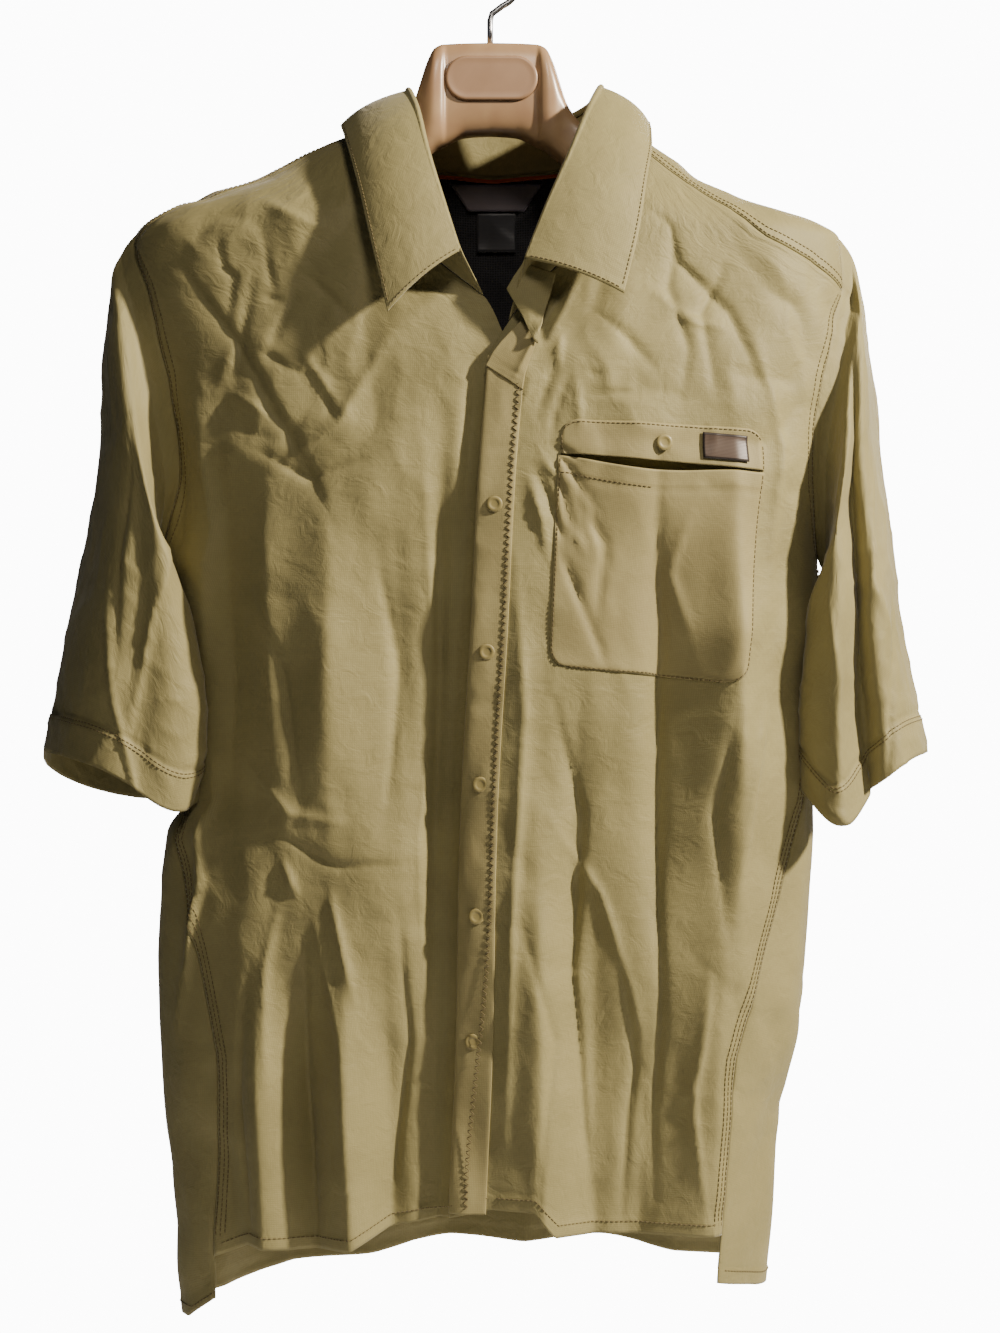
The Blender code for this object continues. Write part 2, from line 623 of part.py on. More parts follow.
def yoke_panel():
    """Columns from the +X shoulder tip over the back neck to the other tip."""
    columns = []
    for side in (1, -1):
        edge = OUTER_PLUS if side > 0 else OUTER_MINUS
        wing = []
        for level in front_levels(side):
            if level > CORNER_LEVEL[side]:
                break
            x = float(lookup(edge, "x", level))
            tip = abs(x) > YOKE_TIP_X + 0.5
            x_end = side * YOKE_TIP_X if tip else x
            wing.append(yoke_path(x + side * (0.0 if tip else SEAM_GAP), level - SEAM_GAP, x_end, True))
        columns.append(wing)
    neck = []
    for x in BACK_NECK_X:
        corner = abs(x) > NECK_CORNER_X
        start = NECK_CORNER_DROP if corner else float(lookup(sorted_by_x(NECKLINE), "drop", x))
        neck.append(yoke_path(x, start, x, False))
    ordered = columns[0][::-1] + neck[::-1] + columns[1]
    rounds = np.array([c[0] for c in ordered]).T
    drops = np.array([c[1] for c in ordered]).T
    return Panel(rounds, drops, np.zeros(drops.shape))


def sorted_by_x(rows):
    """The back part of the neckline, keyed by x."""
    Back = namedtuple("Back", "x drop")
    return sorted(Back(row.x, row.drop) for row in rows if row.face == "back")


# Collar

def neck_stations(fronts, yoke):
    """The neck edge's points from the -X front round the back, with their place along it."""
    found = []
    right_levels = [level for level in front_levels(-1) if level <= NECK_END_DROP[-1]]
    front_rows = sorted((Edge(row.drop, row.along) for row in NECKLINE[:5]), key=lambda e: e.drop)
    for i, level in reversed(list(enumerate(right_levels))):
        found.append((float(np.interp(level, [e[0] for e in front_rows], [e[1] for e in front_rows])),
                      fronts[-1][i, -1]))
    wings = len([level for level in front_levels(1) if level <= CORNER_LEVEL[1]])
    backs = [row for row in NECKLINE if row.face == "back"]
    for n, x in enumerate(BACK_NECK_X):
        along = float(np.interp(x, [row.x for row in backs], [row.along for row in backs]))
        found.append((along, yoke[0, wings + len(BACK_NECK_X) - 1 - n]))
    left = NECKLINE[10:]
    for i, level in enumerate(front_levels(1)):
        if level <= NECK_END_DROP[1]:
            along = float(np.interp(level, [row.drop for row in left], [row.along for row in left]))
            found.append((along, fronts[1][i, 0]))
    return found


def line_at(rows, along):
    x, y, drop = (smooth_lookup(rows, name, along) for name in ("x", "y", "drop"))
    return np.stack([x, y, -drop], axis=-1)


def collar(fronts, yoke):
    """The stand and the fall, from the +X end to the -X end."""
    stations = neck_stations(fronts, yoke)[::-1]
    along = np.array([s[0] for s in stations])
    neck = np.array([s[1] for s in stations])
    roll = line_at(ROLL_LINE, along)
    edge = line_at(FALL_EDGE, along)
    up = unit(roll - neck)
    tall = np.linalg.norm(roll - neck, axis=1, keepdims=True)
    first = neck + up * NECK_SEAM
    last = neck + up * (tall - STAND_TO_ROLL)
    stand = np.array([last + (first - last) * t for t in np.linspace(0, 1, STAND_CELLS + 1)])
    cloth_wall("collar_stand", stand, "cloth", COLLAR_CLOTH)
    fall = []
    for t in np.linspace(0, 1, FALL_CELLS + 1):
        row = roll + (edge - roll) * t
        outward = unit(row * np.array([1, 1, 0]) - np.array([*FALL_CENTRE, 0]))
        bow = FALL_BOW * 4 * t * (1 - t)
        fall.append(row + outward * bow + np.array([0, 0, bow / 2]))
    cloth_wall("collar_fall", np.array(fall), "cloth", COLLAR_CLOTH)
    backs = np.abs(along) < TAPE_ALONG
    low = stand[-1] + unit(stand[0] - stand[-1]) * TAPE_LIFT
    high = low + unit(stand[0] - stand[-1]) * TAPE_HEIGHT
    tape = np.array([high, low])
    inner = tape - grid_normals(stand)[[-2, -1]] * (COLLAR_CLOTH + 2 * LAP_GAP)
    cloth_wall("neck_tape", inner[:, backs], "tape", LABEL_CLOTH)


# Sleeves

def armhole_loop(side, fronts, back, yoke):
    """The armhole's points from the front corner down, up the back and over the shoulder."""
    levels = front_levels(side)
    low, high = levels.index(ARMPIT_LEVEL), levels.index(CORNER_LEVEL[side])
    edge = fronts[side][:, 0 if side < 0 else -1]
    loop = list(edge[high:low + 1])
    back_levels = [level for level in LEVELS if level >= YOKE_LEVEL]
    column = back[:, -1 if side < 0 else 0]
    for i in range(back_levels.index(ARMPIT_LEVEL) - 1, -1, -1):
        loop.append(column[i])
    over = yoke[:, -1 if side < 0 else 0]
    loop.extend(over[1:-1][::-1])
    loop = np.array(loop)
    # start at the top of the shoulder
    top = int(np.argmax(loop[:, 2]))
    return np.roll(loop, -top, axis=0)


def sleeve_grid(side, loop):
    count = len(loop)
    run = np.concatenate([[0], np.cumsum(np.linalg.norm(np.diff(loop, axis=0), axis=1))])
    whole = run[-1] + np.linalg.norm(loop[0] - loop[-1])
    under = int(np.argmin(loop[:, 2]))
    angle = np.interp(run, [0, run[under], whole], [0, math.pi, 2 * math.pi])
    gap = np.array([side * (SEAM_GAP + 0.15), 0, 0])
    rows = [loop + gap]
    middle = (loop[0] + loop[under]) / 2
    for cuff in SLEEVES[side]:
        outer = np.array([cuff.outer_x, 0, -cuff.outer_drop])
        inner = np.array([cuff.inner_x, 0, -cuff.inner_drop])
        centre, half = (outer + inner) / 2, (outer - inner) / 2
        power = 2 / SLEEVE_POWER
        sine = signed_power(np.sin(angle), power)
        ring = centre + np.outer(signed_power(np.cos(angle), power), half)
        ring[:, 1] = np.where(sine > 0, -sine * cuff.front, -sine * cuff.back)
        low = np.exp(-((np.degrees(angle) - FRONT_LOW_DEGREES[side]) / FRONT_LOW_SPREAD) ** 2)
        ring[:, 2] -= low * cuff.front_low + np.clip(-sine, 0, 1) * cuff.back_low
        ring[:, 0] += side * SLEEVE_TURN * ring[:, 1] * min(1.0, cuff.step / SLEEVE_TURN_STEPS)
        groove = GROOVES[side]
        t = cuff.step / SLEEVES[side][-1].step
        place = math.radians(groove.top_degrees + (groove.end_degrees - groove.top_degrees) * t)
        dent = groove.depth * float(ease(t * 1.8)) * np.exp(
            -((angle - place) / math.radians(groove.width_degrees)) ** 2)
        ring = ring - unit(ring - centre) * dent[:, None]
        keep = 1 - float(ease(cuff.step / SLEEVE_BLEND_STEPS))
        shifted = loop + (centre - middle)
        rows.append(ring * (1 - keep) + shifted * keep)
    grid = np.array(rows)
    return grid if side < 0 else grid[:, ::-1]


# Trims

def placket(front):
    """The strip along the wearer's left front, made from that front's own points."""
    start = front_levels(1).index(276)
    strip = front[start:, :PLACKET_CELLS + 1]
    normals = grid_normals(front)[start:, :PLACKET_CELLS + 1]
    grid = strip + normals * (LAP_GAP + CLOTH)
    cloth_wall("placket", grid, "cloth_trim")
    return grid


def sample(grid, x, drop):
    """Point and normal of a grid's surface seen from the front at this x and drop."""
    rows, cols = grid.shape[:2]
    normals = grid_normals(grid)
    for i in range(rows - 1):
        for j in range(cols - 1):
            a, b, c, d = grid[i, j], grid[i, j + 1], grid[i + 1, j], grid[i + 1, j + 1]
            left = (a[2] + drop) / (a[2] - c[2]) if a[2] != c[2] else -1
            if not 0 <= left <= 1:
                continue
            x0 = a[0] + (c[0] - a[0]) * left
            x1 = b[0] + (d[0] - b[0]) * left
            across = (x - x0) / (x1 - x0) if x1 != x0 else -1
            if not 0 <= across <= 1:
                continue
            weights = ((1 - left) * (1 - across), (1 - left) * across, left * (1 - across), left * across)
            corners = ((i, j), (i, j + 1), (i + 1, j), (i + 1, j + 1))
            point = sum(w * grid[k] for w, k in zip(weights, corners))
            normal = unit(sum(w * normals[k] for w, k in zip(weights, corners)))
            return point, normal
    raise ValueError(f"no surface at x {x}, drop {drop}")


def snap(name, grid, x, drop):
    """A round cap that lies on a grid's surface."""
    point, normal = sample(grid, x, drop)
    bpy.ops.mesh.primitive_cylinder_add(
        vertices=SNAP_SIDES, radius=SNAP_RADIUS * MM, depth=SNAP_THICK * MM)
    made = bpy.context.object
    made.name = made.data.name = name
    for owner in list(made.users_collection):
        owner.objects.unlink(made)
    bpy.data.collections[COLLECTION].objects.link(made)
    made.data.materials.append(material("snap"))
    made.data.shade_smooth()
    middle = point + normal * (SNAP_GAP + SNAP_THICK / 2)
    made.location = [float(v) * MM for v in middle]
    made.rotation_euler = turn_to(normal)


def turn_to(normal):
    """Rotation that turns +Z to a direction."""
    x, y, z = (float(v) for v in normal)
    return (0.0, math.acos(max(-1, min(1, z))), math.atan2(y, x))


def corner_point(front, corner, across, down, out):
    """A patch's corner drawn in along the panel's surface, to cut the corner off."""
    point, normal = sample(front, corner[0] + across, -corner[2] + down)
    return point + normal * (out + BULGE)


def pocket(front):
    levels = front_levels(1)
    first = PLACKET_CELLS + 2
    block = slice(first, first + POCKET_CELLS + 1)
    normals = grid_normals(front)
    out = LAP_GAP + CLOTH

    top, end = levels.index(WELT_END), levels.index(POCKET_END)
    bag = front[top:end + 1, block].copy()
    bag[0, :, 2] -= POCKET_GAP_Y
    across = np.linspace(0, 1, POCKET_CELLS + 1)
    down = np.linspace(0, 1, end - top + 1)
    sag = POCKET_SAG * np.outer((1 - down) ** 2, np.sin(math.pi * across))
    bag = bag + normals[top:end + 1, block] * (out + sag)[..., None]
    for column, inward in ((0, 1), (-1, -1)):
        bag[-1, column] = corner_point(front, bag[-1, column], inward * POCKET_CORNER, -POCKET_CORNER, out)
    cloth_wall("pocket", bag, "cloth_trim")

    top, end = levels.index(WELT_TOP), levels.index(WELT_END)
    strip = front[top:end + 1, block].copy()
    strip = strip + normals[top:end + 1, block] * out
    for column, inward in ((0, 1), (-1, -1)):
        strip[0, column] = corner_point(front, strip[0, column], inward * WELT_CORNER, WELT_CORNER, out)
    cloth_wall("pocket_strip", strip, "cloth_trim")
    return strip


def patch_on(name, grid, patch, out, taper=0.0, cells=(3, 2)):
    """A small label that lies on a grid's surface."""
    rows = []
    for t in np.linspace(0, 1, cells[1] + 1):
        drop = patch.top + (patch.bottom - patch.top) * t
        row = []
        for x in np.linspace(patch.left + taper * t, patch.right - taper * t, cells[0] + 1):
            point, normal = sample(grid, x, drop)
            row.append(point + normal * out)
        rows.append(row)
    cloth_wall(name, np.array(rows), "label", LABEL_CLOTH)


def part_of(panel, rows, cols):
    return Panel(panel.rounds[rows, cols], panel.drops[rows, cols], panel.out[rows, cols])


def inside_neck(back, yoke):
    """The mesh lining behind the neck opening, with its labels."""
    wings = len([level for level in front_levels(1) if level <= CORNER_LEVEL[1]])
    inner_cols = slice(wings + 1, wings + len(BACK_NECK_X) - 1)
    last = [level for level in LEVELS if level >= YOKE_LEVEL].index(LINING_END)
    middle = slice(BACK_SIDE_CELLS, BACK_SIDE_CELLS + len(BACK_NECK_X) - 2)
    upper, lower = part_of(yoke, slice(None), inner_cols), part_of(back, slice(1, last + 1), middle)
    panel = Panel(*(np.concatenate(pair) for pair in zip(upper, lower)))
    panel.drops[0] += SEAM_GAP
    depth = CLOTH + LAP_GAP
    panel_wall("yoke_lining", panel, "mesh_lining", depth, LABEL_CLOTH)
    inner = surface(panel, depth + LABEL_CLOTH)
    facing = inner[:, ::-1]
    patch_on("neck_label", facing, NECK_LABEL, LAP_GAP + LABEL_CLOTH, NECK_LABEL_TAPER)
    patch_on("size_label", facing, SIZE_LABEL, LAP_GAP + LABEL_CLOTH)


# Hanger

def bar_section(bar):
    """Points round one section of the hanger."""
    power = 2 / (BAR_POWER if abs(bar.x) < ARM_INNER else ARM_POWER)
    angle = 2 * math.pi * (np.arange(BAR_CORNERS) + 0.5) / BAR_CORNERS
    y = bar.deep * signed_power(np.cos(angle), power)
    z = (bar.bottom - bar.top) / 2 * signed_power(np.sin(angle), power) - (bar.top + bar.bottom) / 2
    return np.stack([np.full(BAR_CORNERS, float(bar.x)), y, z], axis=-1)


def arm_bar(line):
    """The arm's section under one column of the yoke's inner side, which rests on it."""
    x = float(line[:, 0].mean())
    t = (abs(x) - ARM_INNER) / (ARM_OUTER - ARM_INNER)
    deep = ARM_DEEP_INNER + (ARM_DEEP_OUTER - ARM_DEEP_INNER) * t
    top = -float(line[:, 2].max()) + HANGER_GAP
    section = bar_section(Bar(x, top, top + ARM_HEIGHT, deep))
    order = np.argsort(line[:, 1])
    cloth = np.interp(section[:, 1], line[order, 1], line[order, 2])
    crossing = float(np.max(section[:, 2] - cloth)) + HANGER_GAP + HANGER_FACET
    top += max(crossing, 0.0)
    return Bar(x, top, top + ARM_HEIGHT, deep)


def hanger_bars(yoke_inside):
    """Sections from the -X tip to the +X tip."""
    bars = []
    for side in (-1, 1):
        half = [Bar(side * bar.x, bar.top, bar.bottom, bar.deep) for bar in HANGER_NECK if side > 0 or bar.x]
        halfway = (yoke_inside[:, 1:] + yoke_inside[:, :-1]) / 2
        every = np.concatenate([yoke_inside, halfway], axis=1)
        lines = [every[:, n] for n in range(every.shape[1])]
        lines = [line for line in lines if ARM_INNER < side * line[:, 0].mean() < ARM_OUTER]
        half.extend(sorted((arm_bar(line) for line in lines), key=lambda bar: abs(bar.x)))
        end = half[-1]
        mid = (end.top + end.bottom) / 2 + (end.top - half[-2].top) / 2
        reach = ARM_HEIGHT / 2 * ARM_TIP_SCALE
        half.append(Bar(end.x + side * ARM_TIP_REACH, mid - reach, mid + reach, end.deep * ARM_TIP_SCALE))
        bars.extend(half)
    return sorted(bars)


def hanger(yoke_inside):
    bars = hanger_bars(yoke_inside)
    points = np.concatenate([bar_section(bar) for bar in bars])
    faces = []
    for i in range(len(bars) - 1):
        for n in range(BAR_CORNERS):
            m = (n + 1) % BAR_CORNERS
            a = i * BAR_CORNERS
            b = a + BAR_CORNERS
            faces.append((a + n, a + m, b + m, b + n))
    faces.append(tuple(reversed(range(BAR_CORNERS))))
    last = (len(bars) - 1) * BAR_CORNERS
    faces.append(tuple(last + n for n in range(BAR_CORNERS)))
    mesh_object("hanger", points, faces, "hanger")


def badge():
    """A bare stadium plate on the neck's front face."""
    points, faces = [], []
    front = -(HANGER_NECK[0].deep + HANGER_GAP)
    corners = BADGE_CORNERS
    for y in (front, front - BADGE.thick):
        for n in range(corners):
            angle = 2 * math.pi * (n + 0.5) / corners
            straight = (BADGE.width - BADGE.height) / 2
            x = BADGE.x + BADGE.height / 2 * math.cos(angle) + math.copysign(straight, math.cos(angle))
            points.append((x, y, -BADGE.drop + BADGE.height / 2 * math.sin(angle)))
    for n in range(corners):
        m = (n + 1) % corners
        faces.append((n, m, m + corners, n + corners))
    faces.append(tuple(reversed(range(corners))))
    faces.append(tuple(corners + n for n in range(corners)))
    mesh_object("hanger_badge", points, faces, "badge")


def hook():
    """The wire hook: a stem on the hanger's neck and an arc whose inner top is the origin."""
    centre = HOOK_WIRE_RADIUS - HOOK_RADIUS
    path = [(0.0, -HANGER_NECK[0].top - HOOK_SEAT)]
    path += [(0.0, centre - HOOK_RADIUS - stem) for stem in HOOK_STEM]
    for degrees in np.linspace(HOOK_START_DEGREES, HOOK_OPENING_DEGREES, HOOK_CELLS + 1):
        angle = math.radians(float(degrees))
        path.append((HOOK_RADIUS * math.cos(angle), centre + HOOK_RADIUS * math.sin(angle)))
    sides = HOOK_SIDES
    points, faces = [], []
    for i, (x, z) in enumerate(path):
        before, after = path[max(i - 1, 0)], path[min(i + 1, len(path) - 1)]
        dx, dz = after[0] - before[0], after[1] - before[1]
        length = math.hypot(dx, dz)
        for n in range(sides):
            angle = 2 * math.pi * n / sides
            side, deep = math.cos(angle) * HOOK_WIRE_RADIUS, math.sin(angle) * HOOK_WIRE_RADIUS
            points.append((x + side * dz / length, deep, z - side * dx / length))
    for i in range(len(path) - 1):
        for n in range(sides):
            m = (n + 1) % sides
            faces.append((i * sides + n, i * sides + m, (i + 1) * sides + m, (i + 1) * sides + n))
    faces.append(tuple(reversed(range(sides))))
    faces.append(tuple((len(path) - 1) * sides + n for n in range(sides)))
    mesh_object("hanger_hook", points, faces, "steel")


def clear_scene():
    for thing in list(bpy.data.objects):
        bpy.data.objects.remove(thing, do_unlink=True)
    for group in list(bpy.data.collections):
        bpy.data.collections.remove(group)
    bpy.context.scene.collection.children.link(bpy.data.collections.new(COLLECTION))


def main():
    clear_scene()
    back_piece, yoke_piece = back_panel(), yoke_panel()
    front_pieces = {side: front_panel(side) for side in (-1, 1)}
    panel_wall("front_right", front_pieces[-1])
    panel_wall("front_left", front_pieces[1])
    panel_wall("back", back_piece)
    panel_wall("yoke", yoke_piece)
    fronts = {side: surface(piece) for side, piece in front_pieces.items()}
    back, yoke = surface(back_piece), surface(yoke_piece)
    collar(fronts, yoke)
    for side, name in ((-1, "sleeve_right"), (1, "sleeve_left")):
        loop = armhole_loop(side, fronts, back, yoke)
        cloth_wall(name, sleeve_grid(side, loop), loop=True)
    strip = placket(fronts[1])
    for n, drop in enumerate(SNAP_LEVELS, 1):
        snap(f"snap_{n}", strip, placket_x(drop) + SNAP_INSET, drop)
    welt = pocket(fronts[1])
    snap("snap_pocket", welt, POCKET_SNAP.x, POCKET_SNAP.drop)
    patch_on("pocket_label", welt, POCKET_LABEL, LAP_GAP + LABEL_CLOTH)
    inside_neck(back_piece, yoke_piece)
    hanger(surface(yoke_piece, CLOTH))
    badge()
    hook()


main()
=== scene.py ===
"""Looks of a short-sleeved hiking shirt that hangs on a moulded hanger.

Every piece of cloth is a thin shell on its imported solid's form, worked out from the same named
sizes. Tables are in millimetres. "Drop" is the distance below the inside top of the hook,
"round" is the distance round the body from the centre front towards +X, and a table starts
with its rising key. The wearer's right is at -X and the shirt's front faces -Y.
"""

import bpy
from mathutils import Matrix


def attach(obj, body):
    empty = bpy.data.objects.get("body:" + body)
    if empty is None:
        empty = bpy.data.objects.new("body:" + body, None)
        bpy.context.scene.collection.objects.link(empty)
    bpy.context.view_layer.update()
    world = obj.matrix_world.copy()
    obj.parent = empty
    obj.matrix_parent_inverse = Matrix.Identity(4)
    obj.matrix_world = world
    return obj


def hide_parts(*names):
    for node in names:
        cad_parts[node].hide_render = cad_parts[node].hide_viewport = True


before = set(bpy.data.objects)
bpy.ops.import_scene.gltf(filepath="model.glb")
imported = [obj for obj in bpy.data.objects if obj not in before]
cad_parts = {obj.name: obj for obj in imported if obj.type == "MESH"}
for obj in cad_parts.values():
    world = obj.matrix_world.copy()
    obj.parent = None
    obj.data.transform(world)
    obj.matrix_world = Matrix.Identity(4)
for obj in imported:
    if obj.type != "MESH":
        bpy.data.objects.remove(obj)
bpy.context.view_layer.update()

import logging
import math
from dataclasses import dataclass, field
from enum import Enum
from typing import NamedTuple, Sequence

import bpy
import numpy as np

LOG = logging.getLogger("shirt")
MM = 0.001
BODY_NAME = "root"
Array = np.ndarray


class Section(NamedTuple):
    """The body at one drop: half widths at -X and +X, depths of front and back."""

    drop: float
    minus: float
    plus: float
    front: float
    back: float


class Edge(NamedTuple):
    """A point of an edge line seen from the front."""

    drop: float
    x: float


class Reach(NamedTuple):
    """How far behind the side point the back armhole's edge lies."""

    drop: float
    reach: float


class Hem(NamedTuple):
    """The hem's drop at a place across the front or round the back."""

    place: float
    drop: float


class Fold(NamedTuple):
    """A long soft fold: a centre line, a half width and a height (a trough is negative)."""

    face: str
    x_top: float
    top: float
    x_end: float
    end: float
    width: float
    height: float
    is_open: bool


class Crease(NamedTuple):
    """A short pressed crease through (x, drop) points; lean makes one flank the wider one."""

    face: str
    points: tuple[tuple[float, float], ...]
    width: float
    height: float
    lean: float = 0.0


class StrapRow(NamedTuple):
    """A row across a narrow strip of cloth: both of its ends, with their heights over the panel."""

    left_x: float
    left_drop: float
    left_out: float
    right_x: float
    right_drop: float
    right_out: float


class Neck(NamedTuple):
    """A point of the neckline, with its place along the collar."""

    along: float
    face: str
    x: float
    drop: float


class Line(NamedTuple):
    """A point of a collar line, with its place along the collar."""

    along: float
    x: float
    y: float
    drop: float


class Cuff(NamedTuple):
    """One ring of a sleeve, by its outer and inner points, depths and low points."""

    step: float
    outer_x: float
    outer_drop: float
    inner_x: float
    inner_drop: float
    front: float
    back: float
    front_low: float
    back_low: float


class Corner(NamedTuple):
    """A corner of a small piece on the front, with its distance off the cloth."""

    x: float
    drop: float
    out: float


class Groove(NamedTuple):
    """The long fold down a sleeve: its depth and its place round the ring at both ends."""

    depth: float
    top_degrees: float
    end_degrees: float
    width_degrees: float


class Bar(NamedTuple):
    """A section across the hanger."""

    x: float
    top: float
    bottom: float
    deep: float


class Patch(NamedTuple):
    """A patch seen from the front."""

    left: float
    right: float
    top: float
    bottom: float


BODY = (
    Section(123, 92, 98, 10, 10), Section(129, 106, 106, 24, 25), Section(138, 125, 119, 36, 40),
    Section(153, 152, 137, 47, 47), Section(172, 198, 176, 57, 52), Section(182, 218, 206, 61, 54),
    Section(192, 230, 226, 64, 55), Section(222, 232, 229, 70, 58), Section(282, 226, 225, 78, 61),
    Section(342, 218, 218, 81, 63), Section(402, 210, 213, 80, 63), Section(440, 201, 213, 79, 62),
    Section(474, 195, 211, 78, 62), Section(514, 193.5, 210, 78, 62), Section(550, 195, 210, 77, 62),
    Section(576, 208.5, 210, 77, 62), Section(625, 212, 208, 77, 62), Section(690, 214, 201, 77, 62),
    Section(760, 210, 186, 78, 62), Section(820, 205, 183, 80, 63), Section(900, 200, 177, 82, 64),
)
SECTION_POWER = 2.5
GIRTH_WIDE, GIRTH_FRONT, GIRTH_BACK = 208, 78, 63
SHOULDER_DROP = 222
YOKE_LEVEL = 226
ARMPIT_LEVEL = 402
CORNER_LEVEL = {-1: 197, 1: 226}
TOP_LEVEL = {-1: 128, 1: 136}
NECK_MINUS = (
    Edge(124, -91), Edge(150, -82), Edge(184, -62), Edge(214, -34), Edge(232, -12), Edge(240, -2),
    Edge(258, 7), Edge(276, 14),
)
NECK_PLUS = (
    Edge(124, 97), Edge(148, 89), Edge(187, 72), Edge(214, 48), Edge(236, 26), Edge(258, 10),
    Edge(276, -1),
)
PLACKET_EDGE = (
    Edge(276, -1), Edge(352, -7), Edge(430, -11), Edge(520, -16), Edge(620, -19), Edge(720, -22),
    Edge(840, -26),
)
OUTER_MINUS = (
    Edge(128, -93), Edge(143, -122), Edge(158, -150), Edge(177, -196), Edge(187, -213),
    Edge(197, -228), Edge(212, -224), Edge(226, -219), Edge(247, -213), Edge(284, -206),
    Edge(318, -203), Edge(350, -203), Edge(378, -206), Edge(402, -209.6), Edge(440, -200.5),
    Edge(477, -193.5), Edge(520, -191), Edge(552, -192), Edge(578, -200), Edge(622, -190),
    Edge(712, -172), Edge(845, -175),
)
OUTER_PLUS = (
    Edge(136, 96.5), Edge(141, 103), Edge(167, 135), Edge(199, 174), Edge(212, 204),
    Edge(226, 226), Edge(247, 218), Edge(284, 210), Edge(318, 206), Edge(350, 206), Edge(378, 209),
    Edge(402, 212.5), Edge(440, 212), Edge(477, 208.5), Edge(520, 204), Edge(552, 199),
    Edge(613, 183), Edge(691, 156), Edge(711, 150), Edge(860, 136),
)
BACK_ARMHOLE = (
    Reach(192, 0), Reach(212, 14), Reach(226, 24), Reach(258, 34), Reach(295, 38), Reach(332, 37),
    Reach(344, 34), Reach(372, 22), Reach(402, 0),
)
FRONT_HEM = (
    Hem(-180, 843), Hem(-150, 829), Hem(-112, 831), Hem(-84, 828), Hem(-62, 816), Hem(-26, 809),
    Hem(0, 803), Hem(28, 803), Hem(42, 819), Hem(62, 820), Hem(98, 821), Hem(136, 821),
)
BACK_HEM = (
    Hem(-313, 858), Hem(-275, 882), Hem(-236, 886), Hem(-170, 878), Hem(-60, 860), Hem(60, 856),
    Hem(170, 862), Hem(230, 866), Hem(270, 861), Hem(335, 846),
)
FOLDS = (
    Fold("front", -206, 250, -196, 430, 13, -7, False),
    Fold("front", -172, 250, -160, 640, 20, -8, False),
    Fold("front", -140, 300, -132, 610, 16, 6, False),
    Fold("front", -27, 236, -40, 760, 11, -9, False),
    Fold("front", -62, 330, -46, 620, 26, -9, False),
    Fold("front", -100, 300, -98, 620, 20, 8, False),
    Fold("front", -24, 240, -40, 842, 15, -8, True),
    Fold("front", -180, 640, -160, 842, 18, -6, True),
    Fold("front", -146, 620, -138, 842, 15, 11, True),
    Fold("front", -118, 610, -110, 842, 17, -11, True),
    Fold("front", -92, 600, -84, 842, 15, 12, True),
    Fold("front", -66, 610, -60, 842, 18, -11, True),
    Fold("front", 28, 500, 34, 842, 19, 12, True),
    Fold("front", 66, 520, 66, 842, 22, -10, True),
    Fold("front", 108, 300, 112, 720, 18, -8, False),
    Fold("front", 150, 240, 152, 740, 19, 15, False),
    Fold("front", 60, 420, 44, 760, 14, -6, False),
    Fold("front", 146, 540, 132, 842, 24, 11, True),
    Fold("front", 100, 640, 94, 842, 15, -5, True),
    Fold("back", -176, 420, -182, 892, 24, -9, True),
    Fold("back", -128, 380, -134, 892, 28, 10, True),
    Fold("back", -76, 420, -80, 892, 27, -11, True),
    Fold("back", -24, 330, -28, 892, 28, 11, True),
    Fold("back", 28, 420, 24, 892, 27, -10, True),
    Fold("back", 82, 350, 76, 892, 28, 10, True),
    Fold("back", 134, 430, 126, 892, 27, -11, True),
    Fold("back", 182, 440, 166, 892, 22, 7, True),
)
